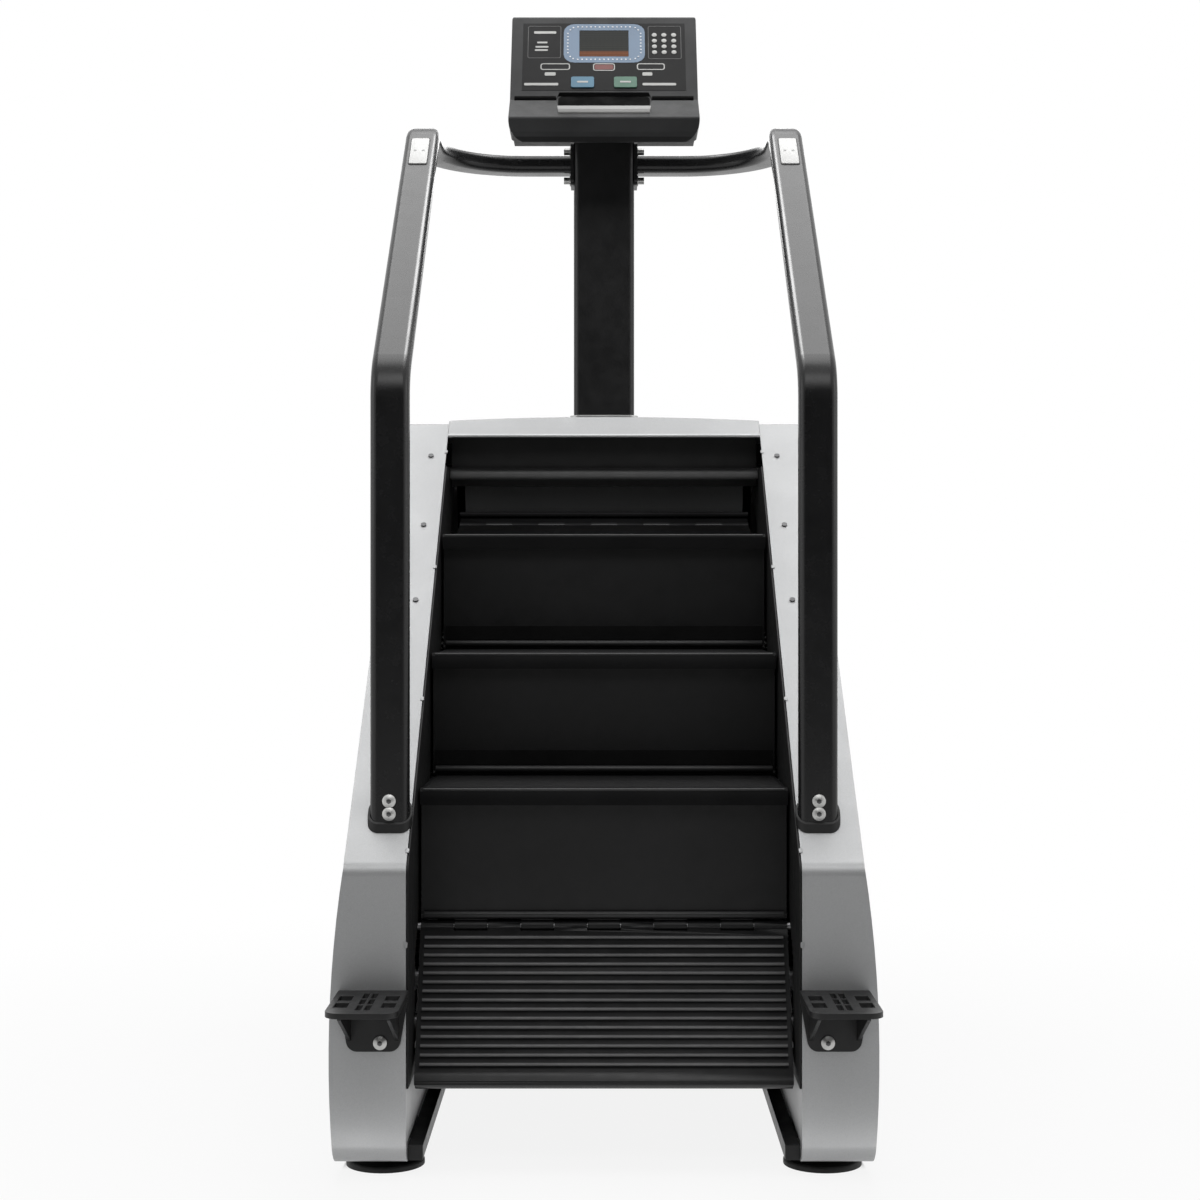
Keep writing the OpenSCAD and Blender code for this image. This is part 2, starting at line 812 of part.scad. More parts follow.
// Side view of the top cover: its front lip slopes with the side covers
lip_top = [top_front, top_z + panel_up];
lip_dir = [cos(band_slope), sin(band_slope)];
lip_out = [-lip_dir.y, lip_dir.x];
module behind_lip(depth) {
    reach = top_rear - top_front;
    start = lip_top - depth * lip_out;
    polygon([
        start - reach * lip_dir, start + [2 * reach, -reach * lip_dir.y],
        start + [2 * reach, reach], start + reach * lip_dir
    ]);
}
module top_cover() {
    lip_z = lip_top.y - panel_lip;
    color("silver") difference() {
        intersection() {
            union() {
                along_y(top_front - panel_lip, top_rear) arch_strip(arch_points(skin));
                along_x(-panel_half, panel_half) difference() {
                    span(top_front - 2 * panel_lip, top_front + panel_lip, lip_z, top_z + panel_lip);
                    behind_lip(skin);
                }
            }
            along_y(top_front - 2 * panel_lip, top_rear)
                arch_strip([for (i = [-8 : 8]) [panel_half * i / 8, lip_z - 1]]);
            along_x(-panel_half - 1, panel_half + 1) behind_lip(0);
        }
        translate([0, mast_y, top_z - mast_d / 2]) linear_extrude(mast_d) mast_section(1);
    }
}
module mast_section(grow) {
    rounded_box(mast_w + 2 * grow, mast_d + 2 * grow, mast_r + grow);
}
flange_t = 4;
flange_w = 7;
module mast_flange() {
    color("silver") translate([0, mast_y, top_z + panel_up + crown + side_gap])
        linear_extrude(flange_t) difference() {
            mast_section(flange_w);
            mast_section(side_gap);
        }
}
apron_roll = 22;
apron_drop = 105;
module top_apron() {
    y = top_front + skin + side_gap;
    roll_z = top_z - apron_drop;
    half = guard_x - 1;
    color([0.1, 0.1, 0.1]) along_x(-half, half) {
        span(y, y + skin, roll_z, top_z + panel_up - skin - side_gap);
        translate([y + skin - apron_roll, roll_z]) difference() {
            circle(apron_roll);
            circle(apron_roll - skin);
            span(-apron_roll, apron_roll - skin, -apron_roll, 0);
        }
    }
}

// Rear cover: a bent panel between the side covers, with air slots for the motor
rear_lap = 60;
rear_foot = 10;
rear_drop = 6;
vent_w = 70;
vent_h = 5;
vent_step = 90;
vent_pitch = 14;
vent_rows = 8;
vent_up = 170;
module air_slots() {
    for (column = [-1 : 1], row = [0 : vent_rows - 1])
        translate([column * vent_step, rear_y, cover_z + vent_up + row * vent_pitch])
            cube([vent_w, 4 * skin, vent_h], center = true);
}
module rear_cover() {
    color([0.12, 0.12, 0.13]) difference() {
        along_x(-panel_half, panel_half) intersection() {
            difference() {
                polygon(cover_outline);
                polygon(inset(cover_outline, skin));
            }
            span(top_rear - rear_lap, rear_y + 1, tie_top + rear_foot, top_z - rear_drop);
        }
        inlet_place()
            cube([inlet_w + 2 * side_gap, 4 * skin, inlet_h + 2 * side_gap], center = true);
        air_slots();
    }
}
inlet_x = -150;
inlet_w = 50;
inlet_up = 93;
inlet_h = 30;
inlet_rim = 6;
inlet_rim_t = 3;
inlet_wall = 8;
module inlet_place() {
    translate([inlet_x, rear_y, cover_z + inlet_up]) children();
}
module power_inlet() {
    depth = 24;
    color([0.1, 0.1, 0.1]) inlet_place() difference() {
        union() {
            translate([-inlet_w / 2, -depth, -inlet_h / 2])
                cube([inlet_w, depth + side_gap + eps, inlet_h]);
            translate([-inlet_w / 2 - inlet_rim, side_gap, -inlet_h / 2 - inlet_rim])
                cube([inlet_w + 2 * inlet_rim, inlet_rim_t, inlet_h + 2 * inlet_rim]);
        }
        translate([-inlet_w / 2 + inlet_wall, -depth + inlet_rim, -inlet_h / 2 + inlet_rim])
            cube([inlet_w - 2 * inlet_wall, depth, inlet_h - 2 * inlet_rim]);
    }
}
module control_box() {
    box_w = 90;
    box_l = 220;
    box_h = 140;
    fin_gap = 25;
    fin_t = 6;
    color("gray") translate([-plate_x, motor_at.x - box_l / 2, motor_at.y - box_h / 2]) {
        cube([box_w, box_l, box_h]);
        for (i = [0 : 7])
            translate([box_w - eps, 20 + i * fin_gap, 10]) cube([14, fin_t, box_h - 20]);
    }
}

// Mast with its beam between the side frames
beam_h = 40;
beam_z = top_z - 74;
mast_top = grip_z + 46;
module mast() {
    color([0.13, 0.13, 0.14]) {
        difference() {
            translate([0, mast_y, beam_z + beam_h])
                linear_extrude(mast_top - beam_z - beam_h) difference() {
                    mast_section(0);
                    mast_section(-wall);
                }
            bracket_bolt_places() rod(-30, 30, bolt_r + press_fit);
        }
        translate([-plate_x, mast_y - mast_d / 2, beam_z]) cube([2 * plate_x, mast_d, beam_h]);
    }
}

// Handrail: post, elbow, sloping run, second elbow, level run, turn and cross bar
bracket_t = 6;
corner_y = post_y + (grip_z - elbow_z) / tan(band_slope);
low_tan = elbow_r * tan((90 - band_slope) / 2);
high_tan = elbow_r * tan(band_slope / 2);
bar_z = grip_z;
bend_grow = 0.05;
bend_lap = 1;
module grip_section(grow = 0) {
    core = wall + grow;
    difference() {
        rounded_box(grip_w + 2 * grow, grip_t + 2 * grow, grip_r + grow);
        rounded_box(grip_w - 2 * core, grip_t - 2 * core, grip_r - core);
    }
}
// A straight tube that laps into the bends at its ends
module straight_grip(length) {
    translate([0, 0, -bend_lap]) linear_extrude(length + 2 * bend_lap) grip_section();
}
module rounded_box(w, h, r) {
    square([w - 2 * r, h], center = true);
    square([w, h - 2 * r], center = true);
    for (x = [-1, 1], y = [-1, 1]) translate([x * (w / 2 - r), y * (h / 2 - r)]) circle(r);
}
module side_bend(r, from, sweep) {
    rotate([90, 0, 90]) rotate(from)
        rotate_extrude(angle = sweep, $fn = 96) translate([r, 0]) rotate(90) grip_section(bend_grow);
}
module handrail() {
    slope = band_slope;
    run = (corner_y - post_y) / cos(slope) - low_tan - high_tan;
    level_y = corner_y + high_tan;
    turn_y = mast_y - turn_r;
    bar_end = mast_w / 2 + bracket_t;
    difference() {
        union() {
            translate([post_x, post_y, bend_z]) straight_grip(elbow_z - low_tan - bend_z);
            translate([post_x, post_y + elbow_r, elbow_z - low_tan])
                side_bend(elbow_r, 90 + slope, 90 - slope);
            translate([post_x, post_y + low_tan * cos(slope), elbow_z + low_tan * sin(slope)])
                rotate([slope - 90, 0, 0]) straight_grip(run);
            translate([post_x, level_y, bar_z - elbow_r]) side_bend(elbow_r, 90, slope);
            translate([post_x, level_y, bar_z]) rotate([-90, 0, 0]) straight_grip(turn_y - level_y);
            translate([post_x - turn_r, turn_y, bar_z])
                rotate_extrude(angle = 90, $fn = 96) translate([turn_r, 0]) grip_section(bend_grow);
            translate([bar_end, mast_y, bar_z]) rotate([90, 0, 90])
                linear_extrude(post_x - turn_r - bar_end + bend_lap) grip_section();
        }
        below_band(side_gap);
        post_bolt_places() translate([0, -1, 0]) rotate([-90, 0, 0])
            cylinder(h = wall + 2, r = bolt_r + press_fit);
    }
}
// Everything below the sloping band, raised by gap
module below_band(gap) {
    translate([cover_x - 50, front_y, bend_z + gap]) rotate([band_slope, 0, 0])
        translate([0, -200, -400]) cube([300, 800, 400]);
}
module handrail_right() {
    color([0.16, 0.16, 0.17]) handrail();
}
module handrail_left() {
    color([0.16, 0.16, 0.17]) mirror([1, 0, 0]) handrail();
}
collar_h = 14;
collar_t = 4;
module rail_collars() {
    color([0.08, 0.08, 0.08]) both_sides() difference() {
        intersection() {
            translate([post_x, post_y, bend_z]) linear_extrude(200) difference() {
                rounded_box(grip_w + 2 * collar_t, grip_t + 2 * collar_t, grip_r + collar_t);
                rounded_box(grip_w + 2 * side_gap, grip_t + 2 * side_gap, grip_r + side_gap);
            }
            below_band(collar_h);
        }
        below_band(side_gap);
    }
}

// Bolts with button heads
bolt_r = 4;
bolt_head_r = 10;
bolt_head_h = 6;
module bolt(shank) {
    rotate_extrude() intersection() {
        translate([0, -bolt_head_r * 1.1]) circle(bolt_head_r * 1.1 + bolt_head_h, $fn = 96);
        span(0, bolt_head_r, eps, bolt_head_h);
    }
    translate([0, 0, -shank]) cylinder(h = shank + 1, r = bolt_r);
}
cap_r = 6.5;
cap_h = 11;
washer_t = 2;
module cap_bolt(shank) {
    translate([0, 0, eps]) cylinder(h = washer_t, r = bolt_head_r);
    difference() {
        translate([0, 0, eps]) cylinder(h = washer_t + cap_h, r = cap_r);
        translate([0, 0, washer_t + cap_h / 2]) cylinder(h = cap_h, r = bolt_r, $fn = 6);
    }
    translate([0, 0, -shank]) cylinder(h = shank + 1, r = bolt_r);
}
post_bolt_up = [12, 31];
module post_bolt_places() {
    for (up = post_bolt_up)
        translate([post_x, post_y - grip_t / 2, band_z(post_y) + up]) children();
}
bracket_bolt_gap = 27.5;
module bracket_bolt_places() {
    for (side = [-1, 1], up = [-1, 1])
        translate([side * (mast_w / 2 + bracket_t), mast_y, bar_z + up * bracket_bolt_gap])
            mirror([side < 0 ? 1 : 0, 0, 0]) children();
}
entry_bolt_z = entry_z - 75;
entry_x = end_x + 3;
entry_bolt_x = entry_x + 41;
bracket_back = 6;
module entry_bolt_places() {
    translate([entry_bolt_x, front_y - side_gap - bracket_back, entry_bolt_z]) children();
}
module frame_bolts() {
    color("silver") {
        both_sides() {
            post_bolt_places() rotate([90, 0, 0]) bolt(wall);
            entry_bolt_places() rotate([90, 0, 0]) bolt(bracket_back + skin);
        }
        bracket_bolt_places() rotate([0, 90, 0]) cap_bolt(bracket_t + wall);
    }
}
module rail_brackets() {
    bracket_y = grip_w + 12;
    bracket_z = 2 * bracket_bolt_gap + 26;
    color([0.1, 0.1, 0.1]) difference() {
        both_sides() translate([0, mast_y, bar_z]) along_x(mast_w / 2, mast_w / 2 + bracket_t)
            rounded_box(bracket_y, bracket_z, 10);
        bracket_bolt_places() rod(-bracket_t - 1, 1, bolt_r + press_fit);
    }
}

// Console: a leaning panel on a wide foot, split into a front and a back shell
face_foot = [mast_y - face_ahead, grip_z + face_up];
face_dir = [sin(face_lean), cos(face_lean)];
face_in = [cos(face_lean), -sin(face_lean)];
face_top = face_foot + face_h * face_dir;
nose_point = face_foot + [-70, -47];
deck_dir = (nose_point - face_foot) / norm(nose_point - face_foot);
deck_out = [deck_dir.y, -deck_dir.x];
under_y = mast_y + mast_d / 2 + 6;
console_outline = rounded(
    [
        nose_point, nose_point + [8, -25], [nose_point.x + 30, grip_z],
        [mast_y - mast_d / 2 - 6, mast_top], [under_y, mast_top], [under_y, mast_top + 36],
        face_foot + face_h * 0.3 * face_dir + panel_t * face_in,
        face_top + panel_t * face_in, face_top, face_foot
    ],
    [6, 8, 8, 6, 10, 15, 20, 14, 8, 2]
);
shell_split = [10.5, -9.8];
screen_half = 45;
screen_low = 105;
screen_high = 170;
overlay_half = 149;
overlay_low = 22;
overlay_high = 188;
overlay_t = 0.8;
key_x = 39;
key_v = 41;
key_fit = 0.4;
key_t = 6;
key_proud = 3;
ledge_half = 87;
ledge_taper = 7;
module on_face() {
    translate([0, face_foot.x, face_foot.y]) rotate([90 - face_lean, 0, 0]) children();
}
module key_block(side, grow, low, high) {
    on_face() translate([side * key_x, key_v, low]) linear_extrude(high - low)
        rounded_box(key_w + 2 * grow, key_h + 2 * grow, 4);
}
// Front view of the housing, with rounded corners
front_view = rounded(
    [
        [-console_w / 2, grip_z], [console_w / 2, grip_z],
        [console_w / 2, face_top.y], [-console_w / 2, face_top.y]
    ],
    [corner_low, corner_low, corner_high, corner_high]
);
module console_shell() {
    intersection() {
        along_x(-console_w, console_w) children();
        along_y(nose_point.x - 1, under_y + 1) polygon(front_view);
    }
}
front_t = 30;
module front_section() {
    reach = 3 * face_h;
    intersection() {
        difference() {
            polygon(console_outline);
            translate(shell_split) polygon(console_outline);
        }
        polygon([
            face_foot + front_t * face_in - reach * face_dir,
            face_foot + front_t * face_in + reach * face_dir,
            face_foot - reach * face_in + reach * face_dir,
            face_foot - reach * face_in - reach * face_dir
        ]);
    }
}
module console_back() {
    color([0.09, 0.09, 0.1]) console_shell() difference() {
        polygon(console_outline);
        front_section();
    }
}
pocket_d = 11;
pocket_up = 18;
pocket_down = 30;
groove_w = 3;
groove_d = 5;
// A recess along the corner between face and deck, up and down from it
module corner_recess(half, up, down, depth) {
    along_x(-half, half) polygon([
        face_foot + up * face_dir - face_in, face_foot + up * face_dir + depth * face_in,
        face_foot + down * deck_dir - depth * deck_out, face_foot + down * deck_dir + deck_out
    ]);
}
// Six-sided in front view, widest at the corner line
module pocket_view(taper) {
    top = face_foot.y + pocket_up;
    low = face_foot.y - pocket_down;
    along_y(nose_point.x, face_top.x) polygon([
        [-ledge_half + taper, top], [-ledge_half, face_foot.y], [-ledge_half + taper * 1.2, low],
        [ledge_half - taper * 1.2, low], [ledge_half, face_foot.y], [ledge_half - taper, top]
    ]);
}
module console_front() {
    color([0.12, 0.12, 0.13]) difference() {
        console_shell() front_section();
        for (side = [-1, 1]) key_block(side, key_fit, -key_t - key_travel, 1);
        on_face() translate([0, 0, -2]) linear_extrude(3)
            span(-screen_half, screen_half, screen_low, screen_high);
        corner_recess(console_w / 2 - 8, groove_w, groove_w, groove_d);
        intersection() {
            corner_recess(ledge_half, pocket_up, pocket_down, pocket_d);
            pocket_view(ledge_taper);
        }
    }
}
module console_overlay() {
    color([0.05, 0.05, 0.06]) difference() {
        on_face() linear_extrude(overlay_t)
            span(-overlay_half, overlay_half, overlay_low, overlay_high);
        for (side = [-1, 1]) key_block(side, key_fit, -1, key_t);
        on_face() translate([0, 0, -1]) linear_extrude(key_t)
            span(-screen_half, screen_half, screen_low, screen_high);
    }
}
module display_window() {
    color([0.15, 0.2, 0.25]) on_face() translate([0, 0, -2]) linear_extrude(2 + overlay_t)
        span(-screen_half, screen_half, screen_low, screen_high);
}
module stop_key() {
    color("steelblue") key_block(-1, 0, key_proud - key_t, key_proud);
}
module start_key() {
    color("seagreen") key_block(1, 0, key_proud - key_t, key_proud);
}
module reading_ledge() {
    function on_deck(d, h) = face_foot + d * deck_dir + h * deck_out;
    color("gray") intersection() {
        along_x(-ledge_half, ledge_half) polygon([
            on_deck(36, 0), on_deck(70, 0), on_deck(70, 4), on_deck(64, 8), on_deck(36, 3)
        ]);
        along_y(nose_point.x, face_foot.x) polygon([
            [-ledge_half + ledge_taper, nose_point.y], [ledge_half - ledge_taper, nose_point.y],
            [ledge_half, face_foot.y], [-ledge_half, face_foot.y]
        ]);
    }
}

// Entry steps: slotted plates on brackets in front of the side covers
slot_rows = [[0.25, 0.45], [0.55, 0.75]];
slot_sides = [[0.08, 0.27], [0.73, 0.92]];
grip_rows = [[0.14, 0.36], [0.39, 0.61], [0.64, 0.86]];
grip_columns = [[0.40, 0.48], [0.52, 0.60]];
module slots(columns, rows) {
    for (x = columns, y = rows)
        span(entry_w * x[0], entry_w * x[1], entry_d * y[0], entry_d * y[1]);
}
module entry_step() {
    translate([entry_x, front_y - side_gap - entry_d, entry_z - entry_t])
        linear_extrude(entry_t) difference() {
            polygon(rounded(
                [[0, 0], [entry_w, 0], [entry_w, entry_d], [0, entry_d]],
                [entry_r, entry_r, skin, skin]
            ));
            slots(slot_sides, slot_rows);
            slots(grip_columns, grip_rows);
        }
}
module entry_step_right() {
    color([0.1, 0.1, 0.1]) entry_step();
}
module entry_step_left() {
    color([0.1, 0.1, 0.1]) mirror([1, 0, 0]) entry_step();
}
module entry_brackets() {
    drop = 80;
    taper = 14;
    foot_round = 16;
    low = entry_z - entry_t - drop;
    high = entry_z - entry_t;
    back = front_y - side_gap;
    rib_t = 5;
    color([0.12, 0.12, 0.12]) both_sides() difference() {
        union() {
            along_y(back - bracket_back, back) polygon(rounded(
                [
                    [entry_x + taper, low], [entry_x + entry_w - taper, low],
                    [entry_x + entry_w, high], [entry_x, high]
                ],
                [foot_round, foot_round, 2, 2]
            ));
            for (x = [entry_x + taper, entry_x + entry_w - taper - rib_t])
                along_x(x, x + rib_t) polygon([
                    [back - bracket_back + eps, low + foot_round], [back - bracket_back + eps, high],
                    [back - entry_d * 0.75, high], [back - entry_d * 0.75, high - 10]
                ]);
        }
        entry_bolt_places() rotate([-90, 0, 0])
            translate([0, 0, -1]) cylinder(h = bracket_back + 2, r = bolt_r + press_fit);
    }
}

base_frame();
frame_left();
frame_right();
chain_guides();
shaft_bearings();
levelling_feet();
side_cover_left();
side_cover_right();
guard_left();
guard_right();
top_cover();
top_apron();
rear_cover();
cover_screws();
mast();
mast_flange();
handrail_left();
handrail_right();
rail_collars();
rail_brackets();
frame_bolts();
console_back();
console_front();
console_overlay();
display_window();
stop_key();
start_key();
reading_ledge();
entry_step_left();
entry_step_right();
entry_brackets();
drive_shaft();
drive_sprockets();
drive_pulley();
upper_axle();
upper_chain();
idler_shaft();
idler_sprockets();
lower_axle();
lower_chain();
motor();
motor_pulley();
drive_belt();
control_box();
power_inlet();
run_axles();
run_chain();
return_axles();
return_chain();
run_treads();
run_risers();
first_tread();
first_riser();
top_tread();
top_riser();
over_riser();
over_tread();
return_steps();
under_riser();
under_tread();
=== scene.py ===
# A stair climber for a gym floor: a loop of hinged steps between two silver covers,
# with black handrails, a mast and a console. Metres, +Y to the rear, +Z up.
from math import cos, radians, sin

import bpy
from mathutils import Matrix, Vector


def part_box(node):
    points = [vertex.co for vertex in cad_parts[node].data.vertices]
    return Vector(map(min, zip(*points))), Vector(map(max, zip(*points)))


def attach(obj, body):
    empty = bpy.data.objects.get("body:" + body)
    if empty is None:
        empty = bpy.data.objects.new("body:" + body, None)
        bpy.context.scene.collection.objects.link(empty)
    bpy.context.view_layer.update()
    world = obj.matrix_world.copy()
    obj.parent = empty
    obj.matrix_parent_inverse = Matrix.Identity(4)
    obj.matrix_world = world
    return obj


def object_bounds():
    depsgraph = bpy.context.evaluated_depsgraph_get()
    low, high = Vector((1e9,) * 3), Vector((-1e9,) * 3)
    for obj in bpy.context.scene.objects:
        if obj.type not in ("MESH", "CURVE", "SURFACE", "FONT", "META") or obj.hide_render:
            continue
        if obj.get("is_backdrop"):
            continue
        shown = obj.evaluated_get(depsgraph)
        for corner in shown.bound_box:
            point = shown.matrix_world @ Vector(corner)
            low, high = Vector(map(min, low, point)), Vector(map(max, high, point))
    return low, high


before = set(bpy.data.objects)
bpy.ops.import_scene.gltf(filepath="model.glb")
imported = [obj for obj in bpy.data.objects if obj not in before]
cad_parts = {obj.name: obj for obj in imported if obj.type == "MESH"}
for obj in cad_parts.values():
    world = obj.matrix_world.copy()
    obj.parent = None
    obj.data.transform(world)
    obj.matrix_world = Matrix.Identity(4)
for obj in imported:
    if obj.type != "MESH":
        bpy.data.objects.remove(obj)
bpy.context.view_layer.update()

# Studio: a pale floor that runs to a white background, a broad soft light overhead, a softer
# one above the camera, a weak fill on each side and a dark card behind the camera, which
# stands level in front of the machine at chest height.
picture_px = 1200
focal_px = 2119
camera_data = bpy.data.cameras.new("front_camera")
camera_data.sensor_width = 36.0
camera_data.lens = 36.0 * focal_px / picture_px
camera_data.shift_x = -4 / picture_px
camera_data.shift_y = -5 / picture_px
camera = bpy.data.objects.new("front_camera", camera_data)
camera.location = (0.0, -3.65, 0.849)
camera.rotation_euler = (radians(90), 0.0, 0.0)
bpy.context.scene.collection.objects.link(camera)
bpy.context.scene.camera = camera
bpy.context.scene.view_settings.view_transform = "Standard"


def softbox(name, place, aim, size, watts):
    lamp = bpy.data.lights.new(name, "AREA")
    lamp.shape = "RECTANGLE"
    lamp.size, lamp.size_y = size
    lamp.energy = watts
    box = bpy.data.objects.new(name, lamp)
    box.location = place
    box.rotation_euler = (Vector(aim) - Vector(place)).to_track_quat("-Z", "Y").to_euler()
    bpy.context.scene.collection.objects.link(box)
    return box


# The overhead light passes the mast and console, which would darken the lid below them.
overhead = softbox("overhead_light", (0.0, 0.3, 4.3), (0.0, 0.1, 0.0), (3.4, 3.0), 100)
let_through = bpy.data.collections.new("overhead_passes")
for node_name in ("mast", "console_back", "console_front", "console_overlay", "reading_ledge"):
    let_through.objects.link(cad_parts[node_name])
for link in let_through.collection_objects:
    link.light_linking.link_state = "EXCLUDE"
overhead.light_linking.blocker_collection = let_through
softbox("front_light", (0.0, -3.2, 3.9), (0.0, 0.0, 1.0), (3.0, 1.2), 26)
for side in (-1, 1):
    softbox("side_light", (side * 4.2, -1.0, 2.2), (0.0, 0.0, 0.9), (1.6, 2.6), 18)
softbox("rear_light", (0.0, 4.6, 3.2), (0.0, 0.0, 0.9), (3.0, 1.6), 40)

bpy.ops.object.select_all(action="DESELECT")
upright = (radians(90), 0.0, 0.0)
bpy.ops.mesh.primitive_plane_add(size=1.0, location=(0.0, -6.2, 2.1), rotation=upright)
dark_card = bpy.context.active_object
dark_card.name = "dark_card"
dark_card.scale = (11.0, 4.4, 1.0)
dark_card.visible_camera = False
dark_card.visible_shadow = False
felt = bpy.data.materials.new("dark_felt")
felt.use_nodes = True
shader = felt.node_tree.nodes["Principled BSDF"]
shader.inputs["Base Color"].default_value = (0.05, 0.05, 0.05, 1.0)
shader.inputs["Roughness"].default_value = 0.9
dark_card.data.materials.append(felt)
dark_card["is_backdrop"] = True


def seen_directly(tree):
    path = tree.nodes.new("ShaderNodeLightPath")
    seen = path.outputs["Is Camera Ray"]
    for ray in ("Is Glossy Ray", "Is Transmission Ray"):
        either = tree.nodes.new("ShaderNodeMath")
        either.operation = "MAXIMUM"
        tree.links.new(seen, either.inputs[0])
        tree.links.new(path.outputs[ray], either.inputs[1])
        seen = either.outputs[0]
    return seen


def clear_of(tree, spot, middle, half):
    shifted = tree.nodes.new("ShaderNodeVectorMath")
    shifted.operation = "SUBTRACT"
    shifted.inputs[1].default_value = middle
    tree.links.new(spot, shifted.inputs[0])
    either_way = tree.nodes.new("ShaderNodeVectorMath")
    either_way.operation = "ABSOLUTE"
    tree.links.new(shifted.outputs["Vector"], either_way.inputs[0])
    in_halves = tree.nodes.new("ShaderNodeVectorMath")
    in_halves.operation = "DIVIDE"
    in_halves.inputs[1].default_value = half
    tree.links.new(either_way.outputs["Vector"], in_halves.inputs[0])
    reach = tree.nodes.new("ShaderNodeSeparateXYZ")
    tree.links.new(in_halves.outputs["Vector"], reach.inputs["Vector"])
    farther = tree.nodes.new("ShaderNodeMath")
    farther.operation = "MAXIMUM"
    tree.links.new(reach.outputs["X"], farther.inputs[0])
    tree.links.new(reach.outputs["Y"], farther.inputs[1])
    beside = tree.nodes.new("ShaderNodeMapRange")
    beside.interpolation_type = "SMOOTHSTEP"
    beside.inputs["From Min"].default_value = 0.96
    beside.inputs["From Max"].default_value = 1.06
    tree.links.new(farther.outputs["Value"], beside.inputs["Value"])
    return beside.outputs["Result"]


world = bpy.data.worlds.new("white_studio")
world.use_nodes = True
bpy.context.scene.world = world
tree = world.node_tree
tree.nodes.clear()
fill = tree.nodes.new("ShaderNodeBackground")
fill.inputs["Color"].default_value = (1.0, 1.0, 1.0, 1.0)
fill.inputs["Strength"].default_value = 0.26
white = tree.nodes.new("ShaderNodeBackground")
white.inputs["Color"].default_value = (1.0, 1.0, 1.0, 1.0)
white.inputs["Strength"].default_value = 1.0
fill_or_white = tree.nodes.new("ShaderNodeMixShader")
sky = tree.nodes.new("ShaderNodeOutputWorld")
tree.links.new(seen_directly(tree), fill_or_white.inputs["Fac"])
tree.links.new(fill.outputs[0], fill_or_white.inputs[1])
tree.links.new(white.outputs[0], fill_or_white.inputs[2])
tree.links.new(fill_or_white.outputs[0], sky.inputs["Surface"])

bpy.ops.object.select_all(action="DESELECT")
bpy.ops.mesh.primitive_plane_add(size=40.0, location=(0.0, 0.0, -0.001))
floor = bpy.context.active_object
floor.name = "floor"
paper = bpy.data.materials.new("pale_floor")
paper.use_nodes = True
tree = paper.node_tree
tree.nodes.clear()
matt = tree.nodes.new("ShaderNodeBsdfDiffuse")
matt.inputs["Color"].default_value = (0.86, 0.86, 0.86, 1.0)
glow = tree.nodes.new("ShaderNodeEmission")
glow.inputs["Color"].default_value = (1.0, 1.0, 1.0, 1.0)
glow.inputs["Strength"].default_value = 1.0
place = tree.nodes.new("ShaderNodeTexCoord")
from_middle = tree.nodes.new("ShaderNodeVectorMath")
from_middle.operation = "LENGTH"
tree.links.new(place.outputs["Object"], from_middle.inputs[0])
fade = tree.nodes.new("ShaderNodeMapRange")
fade.interpolation_type = "SMOOTHSTEP"
fade.inputs["From Min"].default_value = 0.7
fade.inputs["From Max"].default_value = 2.2
fade.inputs["To Min"].default_value = 0.88
fade.inputs["To Max"].default_value = 1.0
tree.links.new(from_middle.outputs["Value"], fade.inputs["Value"])
# The floor's own glow stops below the machine, so that the vents and gaps stay dark.
open_floor = fade.outputs["Result"]
for middle, half in (
    ((0.0, 0.39, 0.0), (0.385, 0.35, 1.0)),
    ((-0.338, 0.13, 0.0), (0.048, 0.61, 1.0)),
    ((0.338, 0.13, 0.0), (0.048, 0.61, 1.0)),
):
    lit = tree.nodes.new("ShaderNodeMath")
    lit.operation = "MULTIPLY"
    tree.links.new(open_floor, lit.inputs[0])
    tree.links.new(clear_of(tree, place.outputs["Object"], middle, half), lit.inputs[1])
    open_floor = lit.outputs["Value"]
glow_share = tree.nodes.new("ShaderNodeMath")
glow_share.operation = "MULTIPLY"
tree.links.new(open_floor, glow_share.inputs[1])
matt_or_glow = tree.nodes.new("ShaderNodeMixShader")
surface = tree.nodes.new("ShaderNodeOutputMaterial")
tree.links.new(seen_directly(tree), glow_share.inputs[0])
tree.links.new(glow_share.outputs[0], matt_or_glow.inputs["Fac"])
tree.links.new(matt.outputs[0], matt_or_glow.inputs[1])
tree.links.new(glow.outputs[0], matt_or_glow.inputs[2])
tree.links.new(matt_or_glow.outputs[0], surface.inputs["Surface"])
floor.data.materials.append(paper)
floor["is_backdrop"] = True

# Base frame and side plates: box section and sheet steel, welded, then powder coated satin
# black, with a fine orange peel and a slightly uneven tone. The plastic chain guides on the
# plates have the same black.


